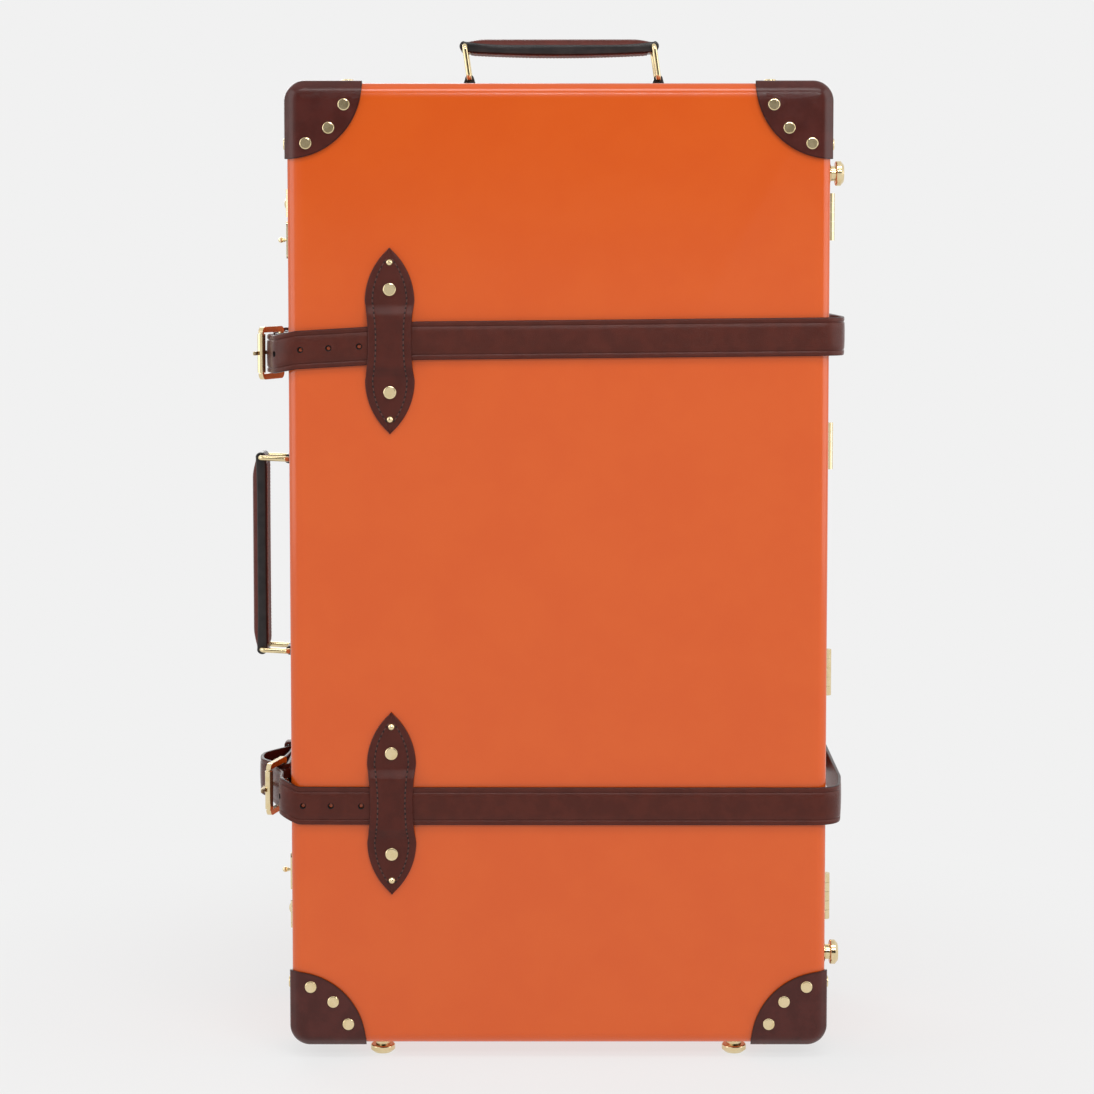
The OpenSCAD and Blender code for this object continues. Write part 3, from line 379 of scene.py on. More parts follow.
dress(cotton_twill("cotton_twill_lining", 1.2, "#CFC2A2", "#A99A78"), "tray_lining", "lid_lining")
dress(cotton_twill("cotton_webbing", 1.6, "#5A3A2E", "#3A241C"), "packing_straps")
dress(varnished_ash(), "tray_rim")
rolled_steel, tree, shader, coords = new_material("cold_rolled_steel", "#8E8F92", 0.9, 0.45)
roughen(tree, shader, noise(tree, coords, 2, 3, 0.6, (0.1, 1, 1)), 0.03)
dress(rolled_steel, "handle_backing_plates")


# Leather corners
# Each corner is one piece of thick leather, wetted and moulded over the case's corner, dyed
# dark red brown, waxed and riveted. Its cut edge is burnished darker.
def dyed_leather(name, pale, dark, roughness, pore_mm, moulded=False):
    """Pebbled grain with pores, a mottled dye and slow dents. Moulded leather is pressed
    flatter, and its wax makes a clear coat."""
    material, tree, shader, coords = new_material(name, pale, 0, roughness)
    shader.inputs["Specular IOR Level"].default_value = 0.22
    cloud = noise(tree, coords, 14, 4)
    colour = blend_colours(tree, cloud, dark, pale, 0.35, 0.65)
    tree.links.new(colour, shader.inputs["Base Color"])
    cells = add_node(tree, "ShaderNodeTexVoronoi", {"feature": "DISTANCE_TO_EDGE"},
                     {"Vector": coords, "Scale": 1 / (pore_mm * MM)})
    pebble = add_node(tree, "ShaderNodeMapRange", None,
                      {"Value": cells.outputs["Distance"], "From Max": 0.12})
    dents = roughen(tree, shader, noise(tree, coords, 9, 3), 0.5, 0.1 if moulded else 0.25)
    grain = roughen(tree, shader, pebble.outputs[0], 0.04 if moulded else 0.09, 0.6, dents)
    if moulded:
        lacquer(tree, shader, grain, 0.02, 0.55, 0.14)
    return material, tree, shader, coords, colour


BURNISH_START, BURNISH_END = 57.6, 58.6


def moulded_corner_leather():
    """Leather whose cut edge, a round line at a set distance from the case's corner, is darker."""
    material, tree, shader, coords, colour = dyed_leather(
        "moulded_corner_leather", "#50201A", "#461A14", 0.2, 1.1, moulded=True)
    from_middle = add_node(tree, "ShaderNodeVectorMath", {"operation": "SUBTRACT"},
                           {0: coords, 1: centre})
    folded = add_node(tree, "ShaderNodeVectorMath", {"operation": "ABSOLUTE"},
                      {0: from_middle.outputs[0]})
    reach = add_node(tree, "ShaderNodeVectorMath", {"operation": "DISTANCE"},
                     {0: folded.outputs[0], 1: (half_w, half_d, half_h)})
    colour = blend_colours(tree, reach.outputs["Value"], colour, "#38160F",
                           BURNISH_START * MM, BURNISH_END * MM)
    tree.links.new(colour, shader.inputs["Base Color"])
    return material


corner_leather = moulded_corner_leather()
for half in ("tray", "lid"):
    for corner in ("top_left", "top_right", "bottom_left", "bottom_right"):
        roll_edges(f"{half}_corner_{corner}", half, "corner_leather", corner_leather, skins="both")


# Brass fittings
# Rivets, feet, hinges, locks and buckles are turned, pressed or drawn in pale brass, polished
# and lacquered. Handling leaves soft smears and fine scratches, which show mostly in its shine.
def polished_brass(name, colour, roughness):
    """Brass whose smears tint it a little and blur its shine, with fine upright scratches."""
    material, tree, shader, coords = new_material(name, colour, 1, roughness)
    smear = noise(tree, coords, 7, 4, 0.6)
    tree.links.new(blend_colours(tree, smear, "#E2CC9C", colour, 0.3, 0.6),
                   shader.inputs["Base Color"])
    shine = add_node(tree, "ShaderNodeMapRange", None,
                     {"Value": smear, "From Min": 0.3, "From Max": 0.7,
                      "To Min": roughness * 0.85, "To Max": roughness * 1.2})
    tree.links.new(shine.outputs[0], shader.inputs["Roughness"])
    roughen(tree, shader, noise(tree, coords, 0.8, 3, 0.6, (1, 1, 0.15)), 0.01, 0.3)
    return material


brass = polished_brass("polished_pale_brass", "#E9D6AC", 0.16)
dress(brass, "tray_feet", "lid_feet", "tray_hinge_leaves", "lid_hinge_leaves", "hinge_pins")
for which in ("upper", "lower"):
    dress(brass, f"{which}_lock_box", f"{which}_lock_slide", f"{which}_hasp_plate", f"{which}_hasp",
          f"{which}_buckle_frame", f"{which}_roller", f"{which}_tongue")
dress(polished_brass("pressed_brass_rivets", "#E8D5AA", 0.17),
      "tray_corner_rivets", "lid_corner_rivets", "loop_rivets", "back_loop_rivets")


# Carry handles
# Each grip is a padded bridle leather crown over a thick core with a black burnished edge, closed
# below by a strip stitched along both edges. The core's ends go round the upper bars of two
# brass rings, whose lower bars turn in black enamelled brackets.
def burnished_edge():
    """Layers of leather sanded flush, dyed black and burnished: fine lines run along the core."""
    material, tree, shader, coords = new_material("burnished_black_edge", "#2B2828", 0, 0.3)
    shader.inputs["Specular IOR Level"].default_value = 0.35
    cloud = noise(tree, coords, 9, 3)
    tree.links.new(blend_colours(tree, cloud, "#1D1B1B", "#2C2828", 0.3, 0.7),
                   shader.inputs["Base Color"])
    roughen(tree, shader, noise(tree, coords, 1.2, 2, 0.5, (0.08, 1, 1)), 0.04, 0.3)
    return material


# A length of leather is drawn through rings, each of which is its section at one place. Its
# grooves take five points a step apart, have this spread, and need this room inside them.
GROOVE_STEP, GROOVE_SPREAD, GROOVE_ROOM = 0.6, 0.65, 3


def leather_section(place, along, half, thickness, edge, groove, depth, dome):
    """One ring of a strip of leather: its outer face, domed a little and with a groove inside
    each rounded edge, and its flat back. place(across, below) gives a point in millimetres.
    Where the strip is narrow, the grooves move in with its edges."""
    edge = min(edge, 0.7 * half)
    fit = min(1, half / (groove + GROOVE_ROOM))
    insets = [(groove + GROOVE_STEP * k) * fit for k in (-2, -1, 0, 1, 2)]
    rest = half - insets[-1]
    insets += [insets[-1] + rest / 3, insets[-1] + rest * 2 / 3]
    right = [(half - inset, depth * math.exp(-((inset / fit - groove) / GROOVE_SPREAD) ** 2))
             for inset in reversed(insets)]
    right += [(half - edge + edge * math.sin(a), edge - edge * math.cos(a))
              for a in (math.radians(30 * k) for k in range(4))]
    face = [(-w, d) for w, d in reversed(right)] + [(0, 0)] + right
    face = [(w, d + dome * (w / half) ** 2) for w, d in face]
    back = [(half, thickness - edge / 2), (half - edge / 2, thickness),
            (-half + edge / 2, thickness), (-half, thickness - edge / 2)]
    return [(place(w, d), (along, w)) for w, d in face + back]


def leather_body(name, rings, material, closed=False):
    """A body drawn through rings of points in millimetres, each with its place on the UV map."""
    rings = [[*ring, ring[0]] for ring in rings]
    if closed:
        rings.append(rings[0])
    count = len(rings)
    bpy.ops.object.select_all(action="DESELECT")
    bpy.ops.mesh.primitive_grid_add(x_subdivisions=count - 1, y_subdivisions=len(rings[0]) - 1,
                                    size=1)
    piece = bpy.context.object
    piece.name = piece.data.name = name
    placed = [rings[k % count][k // count] for k in range(len(piece.data.vertices))]
    for vertex, (point, _) in zip(piece.data.vertices, placed):
        vertex.co = point * MM
    for loop, corner in zip(piece.data.loops, piece.data.uv_layers.active.data):
        corner.uv = Vector(placed[loop.vertex_index][1]) * MM
    bpy.ops.object.mode_set(mode="EDIT")
    bpy.ops.mesh.select_all(action="SELECT")
    bpy.ops.mesh.remove_doubles(threshold=0.001 * MM)
    bpy.ops.mesh.fill_holes(sides=0)
    bpy.ops.mesh.normals_make_consistent(inside=False)
    bpy.ops.object.mode_set(mode="OBJECT")
    piece.data.materials.append(material)
    return finish_shape(piece)


def small_bead(length, width, height):
    """A rounded bead in millimetres along X, the shape of a stitch or of an awl's hole."""
    bpy.ops.object.select_all(action="DESELECT")
    bpy.ops.mesh.primitive_uv_sphere_add(segments=8, ring_count=5, radius=0.5)
    bead = bpy.context.object
    bpy.ops.object.mode_set(mode="EDIT")
    bpy.ops.transform.rotate(value=math.radians(90), orient_axis="Y", center_override=(0, 0, 0))
    bpy.ops.transform.resize(value=(length * MM, width * MM, height * MM))
    bpy.ops.object.mode_set(mode="OBJECT")
    shape = bead.data
    bpy.data.objects.remove(bead)
    return shape


def seat_at(point, along, out):
    """The matrix of a small shape at a point in millimetres, lying along one way and facing out."""
    along = along.normalized()
    across = out.cross(along).normalized()
    turn = Matrix((along, across, along.cross(across))).transposed()
    return Matrix.Translation(point * MM) @ turn.to_4x4()


def repeat_shape(name, shape, seats, material):
    """One piece made of copies of a small shape, one at each seat."""
    copies = bmesh.new()
    for seat in seats:
        before = len(copies.verts)
        copies.from_mesh(shape)
        copies.verts.ensure_lookup_table()
        bmesh.ops.transform(copies, matrix=seat, verts=copies.verts[before:])
    mesh = bpy.data.meshes.new(name)
    copies.to_mesh(mesh)
    copies.free()
    mesh.materials.append(material)
    mesh.shade_smooth()
    piece = bpy.data.objects.new(name, mesh)
    bpy.context.scene.collection.objects.link(piece)
    return piece


# The core: its width, the radius round each bar and the run over which its top rises to them.
GRIP_W, PIVOT_R, CORE_RUN, CORE_STEPS, CORE_BEVEL = 29.0, 4.3, 40, 24, 1.1
# The crown: half its width and its foot's, how far it ends short of the grip's end, its height
# there, and the run over which it rises.
CROWN_HALF, CROWN_FOOT, CROWN_SHORT, CROWN_END, CROWN_RUN = 13.7, 12.5, 4.8, 1.7, 21
# The sole: how far it lies in from the core's edge, ends short and stands out, how deep it lies
# at the grip's end, its thickness, and the groove in which its seam lies.
SOLE_IN, SOLE_SHORT, SOLE_OUT, SOLE_END, SOLE_T, SOLE_GROOVE = 0.9, 9, 0.7, 5.2, 1.4, 2.2
SEAM_PITCH, SEAM_SLANT, GRIP_RINGS = 2.8, 0.12, 60
black_edge = burnished_edge()
grip_crown_leather = dyed_leather("padded_grip_leather", "#5E271E", "#552219", 0.36, 0.9)[0]
grip_sole_leather = dyed_leather("stitched_grip_sole_leather", "#4A1A17", "#421714", 0.42, 0.9)[0]
grip_thread = new_material("pale_waxed_thread", "#A98378", 0, 0.6)[0]


def make_grip(which, middle, along, out, length, rise, drop, crown):
    """The grip round the point between its two bars, along one way and facing out the other. It
    reaches from that point to its rise outside and to its drop inside. The crown's thickness is
    the one in its middle."""
    body, slot = f"{which}_grip", "grip_leather"
    width = along.cross(out)
    half = length / 2

    def point(u, v, w):
        return middle + along * u + out * v + width * w

    def near_end(u, run):
        return max(0.0, 1 - (half - abs(u)) / run)

    def crown_top(u):
        return rise - (rise - CROWN_END) * near_end(u, CROWN_RUN) ** 1.7

    def core_top(u):
        return rise - crown + (PIVOT_R - rise + crown) * near_end(u, CORE_RUN) ** 2

    def core_bottom(u):
        return -drop + SOLE_OUT + (drop - SOLE_END) * (u / half) ** 2

    # The core is its own outline, round both bars, extruded over the width and bevelled.
    inner = half - PIVOT_R
    ends = [math.radians(80 - 16 * i) for i in range(11)]
    spans = [-inner + 2 * inner * i / CORE_STEPS for i in range(CORE_STEPS + 1)]
    outline = [(u, core_top(u)) for u in spans]
    outline += [(inner + PIVOT_R * math.cos(a), PIVOT_R * math.sin(a)) for a in ends]
    outline += [(u, core_bottom(u)) for u in reversed(spans)]
    outline += [(-inner - PIVOT_R * math.cos(a), PIVOT_R * math.sin(a)) for a in reversed(ends)]
    bpy.ops.object.select_all(action="DESELECT")
    bpy.ops.mesh.primitive_circle_add(vertices=len(outline), fill_type="NGON")
    core = bpy.context.object
    core.name = core.data.name = f"{which}_grip_core"
    for vertex, (u, v) in zip(core.data.vertices, outline):
        vertex.co = point(u, v, -GRIP_W / 2) * MM
    bpy.ops.object.mode_set(mode="EDIT")
    bpy.ops.mesh.select_all(action="SELECT")
    bpy.ops.mesh.extrude_region_move(TRANSFORM_OT_translate={"value": width * GRIP_W * MM})
    bpy.ops.mesh.select_all(action="SELECT")
    bpy.ops.mesh.normals_make_consistent(inside=False)
    bpy.ops.object.mode_set(mode="OBJECT")
    core.data.materials.append(black_edge)
    finish_shape(core, ("BEVEL", {"width": CORE_BEVEL * MM, "segments": 3,
                                  "limit_method": "ANGLE", "angle_limit": math.radians(50)}))
    take_over(core, body, slot, f"{which}_grip")

    # The crown is arched over the core, and its foot is sunk into it.
    rings = []
    for i in range(GRIP_RINGS + 1):
        u = (half - CROWN_SHORT) * (1 - 2 * i / GRIP_RINGS)
        low = core_top(u) - 0.3
        high = max(low + 0.35, crown_top(u))
        ring = []
        for side in (-1 + j / 10 for j in range(21)):
            arch = low + (high - low) * (1 - side ** 4) ** 0.5
            ring.append((point(u, arch, CROWN_HALF * side), (u, CROWN_HALF * side)))
        for foot in (CROWN_FOOT, -CROWN_FOOT):
            ring.append((point(u, low - 0.6, foot), (u, foot)))
        rings.append(ring)
    take_over(leather_body(f"{which}_grip_crown", rings, grip_crown_leather), body, slot)

    # The sole lies against the core's underside, with a slanting seam along both edges.
    reach = half - SOLE_SHORT
    rings = []
    for i in range(GRIP_RINGS + 1):
        u = reach * (2 * i / GRIP_RINGS - 1)
        rings.append(leather_section(
            lambda w, d: point(u, core_bottom(u) - SOLE_OUT + d, w), u, GRIP_W / 2 - SOLE_IN,
            SOLE_T, edge=0.4, groove=SOLE_GROOVE, depth=0.12, dome=0.1))
    take_over(leather_body(f"{which}_grip_sole", rings, grip_sole_leather), body, slot)

    seats = []
    count = int((2 * reach - 6) / SEAM_PITCH)
    for side in (-1, 1):
        seam = side * (GRIP_W / 2 - SOLE_IN - SOLE_GROOVE)
        for i in range(count + 1):
            u = (i - count / 2) * SEAM_PITCH
            seats.append(seat_at(point(u, core_bottom(u) - SOLE_OUT, seam),
                                 along + width * SEAM_SLANT, -out))
    stitches = repeat_shape(f"{which}_grip_stitches", small_bead(2.2, 0.8, 0.6), seats,
                            grip_thread)
    take_over(stitches, body, slot)


TOP_RISE, SIDE_RISE = 6.1, 7.5
low, high = (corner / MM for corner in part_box("top_grip"))
make_grip("top", Vector(((low.x + high.x) / 2, 0, high.z - TOP_RISE)), Vector((1, 0, 0)),
          Vector((0, 0, 1)), high.x - low.x, TOP_RISE, drop=7.8, crown=5.2)
low, high = (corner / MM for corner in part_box("side_grip"))
make_grip("side", Vector((low.x + SIDE_RISE, 0, (low.z + high.z) / 2)), Vector((0, 0, 1)),
          Vector((-1, 0, 0)), high.z - low.z, SIDE_RISE, drop=5.0, crown=4.2)
dress(polished_brass("drawn_brass_rod", "#E4D2A6", 0.14),
      "top_link_left", "top_link_right", "side_link_upper", "side_link_lower")
enamel, tree, shader, coords = new_material("black_enamelled_bracket", "#201C1B", 0, 0.28)
roughen(tree, shader, noise(tree, coords, 2.5, 2), 0.04, 0.3)
dress(enamel, "top_handle_brackets", "side_handle_brackets")


# Strap loops
# Four pointed loops hold the straps to the case, two in front and two behind. Each is one piece
# of thick leather, stitched 6 mm inside its edge and fixed with two flat rivets and two nails.

# The big faces' distance from the middle of the case, the loop, its seam, and the strap in it.
WALL_Y = half_d / MM
LOOP_LEN, LOOP_W, LOOP_WAIST, LOOP_WIDE_PITCH, LOOP_T = 145.0, 38.7, 33.5, 61.2, 2.6
LOOP_RINGS = 116
STITCH_IN, STITCH_PITCH, STITCH_SHORT, STITCH_SUNK = 6.0, 4.2, 10, 0.3
AWL_SLANT = 0.5
STRAP_W, STRAP_T, STRAP_GAP = 30.0, 3.2, 0.5
loop_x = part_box("upper_loop")[0].x / MM + LOOP_W / 2 - case_x / MM
loop_leather = dyed_leather("stitched_loop_leather", "#522118", "#4A1D15", 0.33, 1.2)[0]
linen_thread = new_material("waxed_linen_thread", "#5A342B", 0, 0.5)[0]
# Near-black painted shade, for the insides of awl holes, punched holes and the tongue's slots.
hole_painted_shade = new_material("painted_shade_in_holes", "#140807", 0, 0.8)[0]


def at_case(x, y, z):
    """A point in millimetres, from its place seen from the middle of the case."""
    return Vector((case_x / MM + x, y, mid_z / MM + z))


def loop_half(u):
    """Half the loop's width at a distance from its middle, drawn in at the waist and pointed at
    the tips."""
    shoulder, half = LOOP_WIDE_PITCH / 2, LOOP_W / 2
    if abs(u) < shoulder:
        dip = half - LOOP_WAIST / 2
        radius = (shoulder ** 2 + dip ** 2) / (2 * dip)
        return LOOP_WAIST / 2 + radius - math.sqrt(radius ** 2 - u ** 2)
    tip = LOOP_LEN / 2 - shoulder
    radius = (tip ** 2 + half ** 2) / (2 * half)
    return max(0.5, math.sqrt(radius ** 2 - (abs(u) - shoulder) ** 2) - radius + half)


def loop_height(u):
    """Height of the loop's outer face over the wall: flat at the tips and arched over the strap."""
    rise, start, end = STRAP_GAP + STRAP_T + 0.3, STRAP_W / 2 + 4.5, STRAP_W / 2 + 13.5
    fall = min(1, max(0, (end - abs(u)) / (end - start)))
    return LOOP_T + rise * fall * fall * (3 - 2 * fall)


def make_loop(which, node, body, facing):
    """The loop at the place of a CAD node, on the wall that faces that way along Y."""
    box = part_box(node)
    loop_z = (box[0].z + box[1].z) / 2 / MM - mid_z / MM
    out, side = Vector((0, facing, 0)), Vector((-facing, 0, 0))

    def point(u, w, below):
        return at_case(loop_x, 0, loop_z + u) + side * w + out * (WALL_Y + loop_height(u) - below)

    def seam(u, w_side):
        return point(u, w_side * (loop_half(u) - STITCH_IN), STITCH_SUNK)

    rings = []
    for i in range(LOOP_RINGS + 1):
        u = -LOOP_LEN / 2 + LOOP_LEN * i / LOOP_RINGS
        rings.append(leather_section(lambda w, d: point(u, w, d), u, loop_half(u), LOOP_T,
                                     edge=0.9, groove=STITCH_IN, depth=0.35, dome=0.3))
    take_over(leather_body(f"{which}_leather", rings, loop_leather), body, "strap_leather", node)

    holes, threads = [], []
    for w_side in (-1, 1):
        u = -LOOP_LEN / 2 + STITCH_SHORT
        while u < LOOP_LEN / 2 - STITCH_SHORT:
            here = seam(u, w_side)
            way = (seam(u + 0.5, w_side) - here).normalized()
            holes.append(seat_at(here, way + side * AWL_SLANT * w_side, out))
            threads.append(seat_at(here + way * STITCH_PITCH / 2, way, out))
            u += STITCH_PITCH * way.z
    # Each awl hole is a near-black bead at the seam: painted shade where the hole would be dark.
    for name, bead, seats, material in (
            ("awl_hole_painted_shade", small_bead(2.0, 1.5, 0.6), holes, hole_painted_shade),
            ("thread", small_bead(2.7, 0.9, 0.7), threads, linen_thread)):
        take_over(repeat_shape(f"{which}_{name}", bead, seats, material), body, "strap_leather")


for which in ("upper", "lower"):
    make_loop(f"{which}_front_loop", f"{which}_loop", "lid", -1)
    make_loop(f"{which}_rear_loop", f"{which}_back_loop", "tray", 1)


# Straps
# Two bridle leather straps with a line creased inside each edge are turned round the heel bars
# of their buckles. Each is cut in three where the loops hide it: the punched end moves with the
# lid, the chape stays on the tray, and the middle, fixed to neither, is laid round the corner
# beside the hinges.

# OFF lengths run from a side wall out to the strap's middle, and DEPTH ones from the lid's face.
# Beside the hinges the strap bends over BEND_REACH before and behind the lid's rim. PLAY is the
# room between two layers of it.
WALL_X = half_w / MM
RUN_Y = WALL_Y + STRAP_GAP + STRAP_T / 2
CREASE_IN, BRIDLE_DARK_START, BRIDLE_DARK_END = 4.0, 14.3, 14.9
HEEL_OFF, HEEL_DEPTH, CHAPE_LEN = 12.0, 72.0, 45.0
OFF_CORNER, OFF_FRONT, OFF_BACK, BEND_REACH = 11.4, 15.4, 19.0, 25
LID_D, ROLLER_DEPTH, EYE_R, TONGUE_T = 75.0, 35.0, 3.9, 3.0
KEEPER_DEPTH, KEEPER_W, BOW_DEPTH = 160.0, 12.0, 108
PLAY, TONGUE_REACH, JOINT_SHIFT = 0.4, 9, 6
HOLE_D, HOLE_PITCH, FIRST_HOLE_IN, HOLES = 4.0, 23.4, 56.5, 4
BUCKLE_Z = {"upper": 168.8, "lower": -182.0}
split_y = LID_D - WALL_Y
heel_y = HEEL_DEPTH - WALL_Y
over_heel = HEEL_OFF + EYE_R + STRAP_T + PLAY
keeper_off = HEEL_OFF + STRAP_T + PLAY
keeper_y = KEEPER_DEPTH - WALL_Y
tongue_y = heel_y - TONGUE_REACH
joint_x = loop_x + JOINT_SHIFT


def waxed_bridle():
    """Bridle leather; across the strap its UV map runs from the middle, so the edges come dark."""
    material, tree, shader, _, colour = dyed_leather(
        "waxed_bridle_leather", "#56241A", "#4E2017", 0.3, 1.2)
    spread = add_node(tree, "ShaderNodeSeparateXYZ", None,
                      {0: add_node(tree, "ShaderNodeTexCoord").outputs["UV"]})
    side = add_node(tree, "ShaderNodeMath", {"operation": "ABSOLUTE"}, {0: spread.outputs["Y"]})
    colour = blend_colours(tree, side.outputs[0], colour, "#2B120E",
                           BRIDLE_DARK_START * MM, BRIDLE_DARK_END * MM)
    tree.links.new(colour, shader.inputs["Base Color"])
    return material


bridle_leather = waxed_bridle()


def bend(cx, cy, radius, start, end):
    """Points of a bend in 12 steps, as the angle goes from start to end in degrees."""
    angles = (math.radians(start + (end - start) * i / 12) for i in range(13))
    return [Vector((cx + radius * math.cos(a), cy + radius * math.sin(a))) for a in angles]


def even_line(corners, step, rounds):
    """Points about a step apart along the given ones, with the corners eased a few times."""
    spans = [(b - a).length for a, b in zip(corners, corners[1:])]
    count = max(2, round(sum(spans) / step))
    line, span, start = [], 0, 0.0
    for i in range(count + 1):
        along = sum(spans) * i / count
        while span < len(spans) - 1 and along > start + spans[span]:
            start += spans[span]
            span += 1
        line.append(corners[span].lerp(corners[span + 1], min(1, (along - start) / spans[span])))
    for _ in range(rounds):
        middle = [(a + 2 * b + c) / 4 for a, b, c in zip(line, line[1:], line[2:])]
        line = [line[0], *middle, line[-1]]
    return line


def make_strap(name, plan, height_at, step=2.0, rounds=3, tip=False):
    """A length of strap along a line on the plan; its height follows from its place. A tip
    takes more rings in its first step, where the width opens quickly."""
    line = [Vector((p.x, p.y, height_at(p))) for p in even_line(plan, step, rounds)]
    line = even_line(line, step, 1)
    ways = [(b - a).normalized() for a, b in zip([line[0], *line], [*line[1:], line[-1]])]
    half, rings = STRAP_W / 2, []
    stations = [(i, 0.0) for i in range(len(line))]
    if tip:
        stations = [(0, part) for part in (0.02, 0.08, 0.2, 0.4, 0.7)] + stations[1:]
    for i, part in stations:
        middle = line[i].lerp(line[min(i + 1, len(line) - 1)], part)
        out = Vector((ways[i].y, -ways[i].x, 0)).normalized()
        far = (i + part) * step
        narrow = math.sqrt(max(0.0004, 1 - max(0, 1 - far / half) ** 2)) if tip else 1

        def place(w, d):
            return at_case(*(middle + Vector((0, 0, w)) + out * (STRAP_T / 2 - d)))
        rings.append(leather_section(place, far, half * narrow, STRAP_T,
                                     edge=0.9, groove=CREASE_IN, depth=0.75, dome=0.45))
    return leather_body(name, rings, bridle_leather), line, ways


def cut_out(piece, *tools):
    """Cuts shapes out of a piece, one after another. The cut faces take the tool's material, which
    for the holes and slots is painted shade.
    """
    for tool in tools:
        finish_shape(piece, ("BOOLEAN", {"object": tool, "operation": "DIFFERENCE",
                                         "solver": "EXACT", "material_mode": "TRANSFER"}))
        bpy.data.objects.remove(tool)


def punch(point, way):
    """A round punch through a strap, where it passes a point. It is a cone, wide on the outside,
    so that the hole has a worn, flared edge. Its walls take the near-black painted shade."""
    bpy.ops.object.select_all(action="DESELECT")
    bpy.ops.mesh.primitive_cone_add(vertices=28, radius1=(HOLE_D / 2 - 1.4) * MM,
                                    radius2=(HOLE_D / 2 + 1.3) * MM, depth=8 * MM)
    tool = bpy.context.object
    tool.data.materials.append(hole_painted_shade)
    turn = Vector((way.y, -way.x, 0)).normalized().to_track_quat("Z", "Y").to_matrix().to_4x4()
    tool.matrix_world = Matrix.Translation(at_case(*point) * MM) @ turn
    return tool


def slot_tool(x, y, z, size):
    """A plain block that cuts the slot for the tongue; the slot's walls take the near-black painted
    shade.
    """
    bpy.ops.object.select_all(action="DESELECT")
    bpy.ops.mesh.primitive_cube_add(size=1)
    tool = bpy.context.object
    tool.data.materials.append(hole_painted_shade)
    scale = Matrix.Diagonal((*(Vector(size) * MM), 1))
    tool.matrix_world = Matrix.Translation(at_case(x, y, z) * MM) @ scale
    return tool


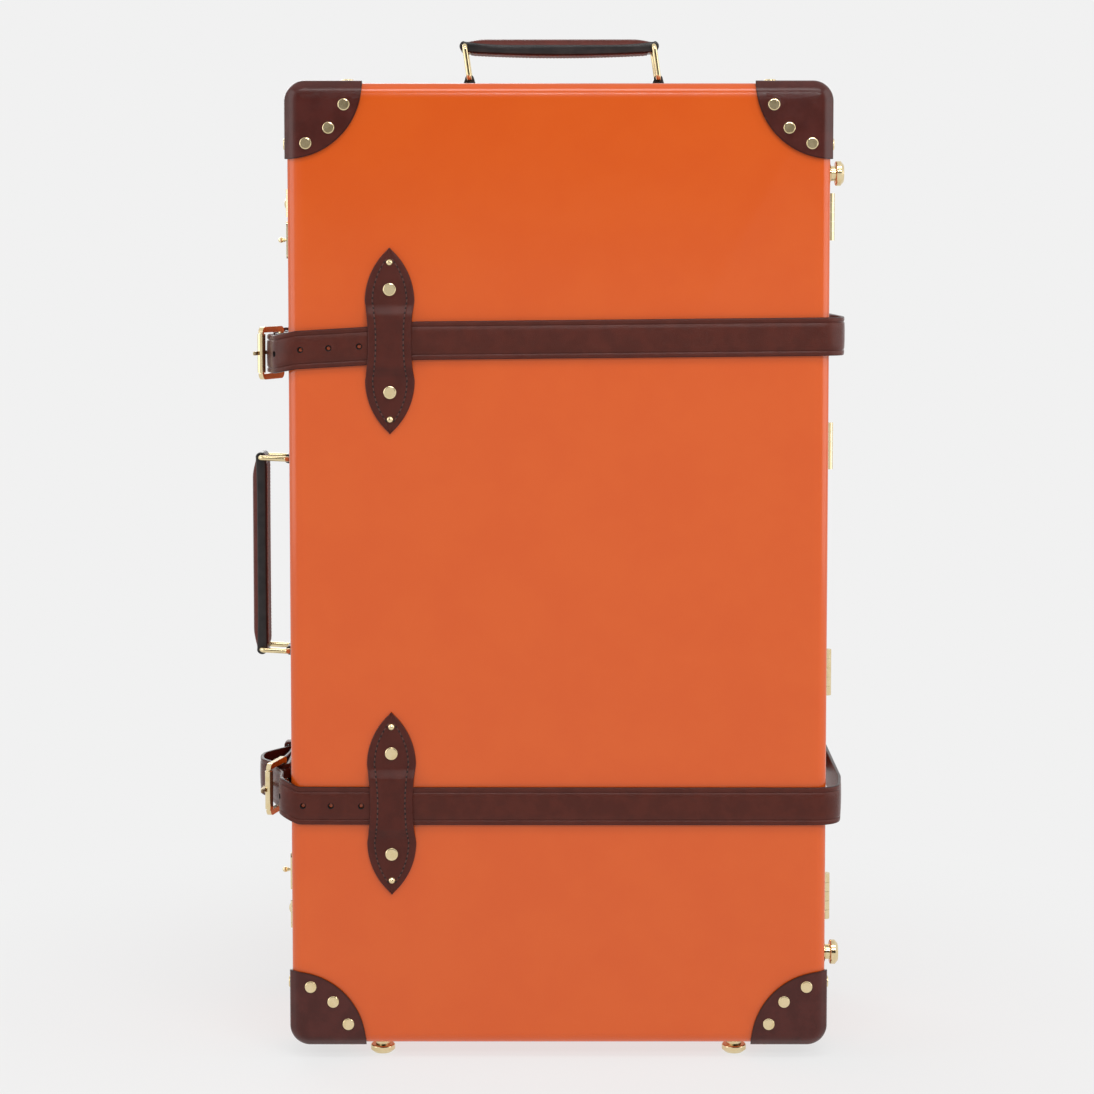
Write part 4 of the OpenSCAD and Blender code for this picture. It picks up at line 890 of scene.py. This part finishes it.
def set_strap(which, bend_z, right_z, off, behind_roller, bulge):
    """One strap in its three pieces. bend_z and right_z are its heights where it turns onto the
    lid and past the loop. off, behind_roller and bulge say how far its middle lies off the side
    wall at the lid's edge, behind the roller and at the bow between buckle and keeper."""
    left_z = BUCKLE_Z[which]
    rise = right_z - bend_z
    # The strap's height at places along the front, and along the back.
    front = [(-WALL_X - off + 2, left_z), (-WALL_X + 6, bend_z),
             (loop_x - LOOP_W / 2, bend_z + 0.3 * rise),
             (loop_x + LOOP_W / 2, bend_z + 0.7 * rise), (WALL_X, right_z)]
    back = [(-WALL_X, left_z), (WALL_X, right_z)]

    def height_at(p):
        pairs = front if p.y < split_y else back
        for (x0, z0), (x1, z1) in zip(pairs, pairs[1:]):
            if p.x <= x1:
                return z0 + (z1 - z0) * min(1, max(0, (p.x - x0) / (x1 - x0)))
        return right_z

    # The punched end: through the keeper, out in a bow, over the heel bar and the tongue,
    # behind the roller, round the corner and across the lid to the loop.
    leaves_keeper, roller_y = keeper_y - KEEPER_W / 2, ROLLER_DEPTH - WALL_Y
    plan = [Vector((-WALL_X - off_wall, y)) for off_wall, y in (
        (keeper_off, keeper_y + 26), (keeper_off, leaves_keeper - 1),
        (keeper_off + 2, leaves_keeper - 8), ((bulge + keeper_off) / 2 + 1, leaves_keeper - 20),
        (bulge - 0.8, BOW_DEPTH + 12 - WALL_Y), (bulge, BOW_DEPTH - WALL_Y),
        (bulge - 2.5, BOW_DEPTH - 16 - WALL_Y), (over_heel + 0.4, heel_y + 3),
        (over_heel, tongue_y + 3), (over_heel - 0.6, tongue_y - 3),
        ((behind_roller + over_heel) / 2, roller_y + 11), (behind_roller, roller_y + 1))]
    plan += bend(EDGE_R - WALL_X, off + EDGE_R - RUN_Y, off + EDGE_R, 180, 270)
    plan.append(Vector((joint_x, -RUN_Y)))
    end, line, ways = make_strap(f"{which}_punched_end", plan, height_at, tip=True)
    first_hole = Vector((FIRST_HOLE_IN - WALL_X, -RUN_Y, bend_z))
    first = min(range(len(line)), key=lambda i: (line[i] - first_hole).length)
    gap = (line[first] - line[first - 1]).length
    stations = [first - round(k * HOLE_PITCH / gap) for k in range(HOLES)]
    cut_out(end, *[punch(line[i], ways[i]) for i in stations],
            slot_tool(-WALL_X - over_heel, tongue_y + 2, left_z, (20, 9, HOLE_D)))
    take_over(end, "lid", "strap_leather", f"{which}_strap_front", f"{which}_strap_end")

    # The middle: from the loop round the lid's edge, beside the hinges and onto the back.
    lean = math.degrees(math.atan2(OFF_FRONT - OFF_CORNER,
                                   split_y - BEND_REACH + RUN_Y - OFF_CORNER - EDGE_R))
    bend_start = Vector((WALL_X + OFF_FRONT, split_y - BEND_REACH))
    bend_end = Vector((WALL_X + OFF_FRONT + 0.3 * (OFF_BACK - OFF_FRONT), split_y + BEND_REACH))
    plan = [Vector((joint_x, -RUN_Y))]
    plan += bend(WALL_X - EDGE_R, OFF_CORNER + EDGE_R - RUN_Y, OFF_CORNER + EDGE_R, -90, -lean)
    plan += [bend_start, bend_end]
    plan += bend(WALL_X - EDGE_R, RUN_Y - OFF_BACK - EDGE_R, OFF_BACK + EDGE_R, 0, 90)
    plan.append(Vector((joint_x, RUN_Y)))
    band = make_strap(f"{which}_hinge_side_run", plan, height_at)[0]
    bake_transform(band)
    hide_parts(f"{which}_strap_side")

    # The chape: across the back, round the corner, round the heel bar and back on itself.
    plan = [Vector((joint_x, RUN_Y))]
    plan += bend(EDGE_R - WALL_X, RUN_Y - HEEL_OFF - EDGE_R, HEEL_OFF + EDGE_R, 90, 180)
    plan += [Vector((-WALL_X - HEEL_OFF, heel_y + CHAPE_LEN + 10)),
             Vector((-WALL_X - HEEL_OFF - EYE_R, heel_y + 14))]
    plan += bend(-WALL_X - HEEL_OFF, heel_y, EYE_R, 180, 360)
    plan += [Vector((-WALL_X - HEEL_OFF + EYE_R, heel_y + 14)),
             Vector((-WALL_X - HEEL_OFF + STRAP_T + 0.2, heel_y + CHAPE_LEN))]
    chape = make_strap(f"{which}_chape", plan, height_at, 1.25, 1)[0]
    cut_out(chape, slot_tool(-WALL_X - HEEL_OFF, heel_y - 1, left_z, (4 * EYE_R, 16, TONGUE_T + 4)))
    take_over(chape, "tray", "strap_leather", f"{which}_strap_back")


set_strap("upper", bend_z=172.4, right_z=183.0, off=13.4, behind_roller=18.6, bulge=24.0)
set_strap("lower", bend_z=-187.4, right_z=-188.0, off=9.4, behind_roller=10.2, bulge=34.0)


# Keepers
# A keeper is a short strip of leather closed to a ring. It sits on the chape behind the buckle
# and holds the punched end down on it.
KEEPER_T, KEEPER_TURN_R = 2.4, 3.0
KEEPER_ROOM_X, KEEPER_ROOM_Z = 3.8, (STRAP_W + 1) / 2


def make_keeper(which):
    """The ring, drawn through sections that go round its four corners in steps of 15 degrees."""
    middle = at_case(-WALL_X - (keeper_off + HEEL_OFF) / 2, keeper_y, BUCKLE_Z[which])
    reach_x, reach_z = KEEPER_ROOM_X + KEEPER_T, KEEPER_ROOM_Z + KEEPER_T
    rings, along = [], 0.0
    for x_side, z_side, start in ((-1, 1, 180), (1, 1, 90), (1, -1, 0), (-1, -1, -90)):
        corner = middle + Vector((x_side * (reach_x - KEEPER_TURN_R), 0,
                                  z_side * (reach_z - KEEPER_TURN_R)))
        for i in range(7):
            angle = math.radians(start - 15 * i)
            out = Vector((math.cos(angle), 0, math.sin(angle)))
            face = corner + out * KEEPER_TURN_R
            rings.append(leather_section(
                lambda w, d: face + Vector((0, w, 0)) - out * d, along, KEEPER_W / 2, KEEPER_T,
                edge=0.7, groove=2.2, depth=0.35, dome=0.2))
            along += 1.0
    take_over(leather_body(f"{which}_keeper_ring", rings, loop_leather, closed=True),
              "tray", "strap_leather", f"{which}_keeper")


make_keeper("upper")
make_keeper("lower")
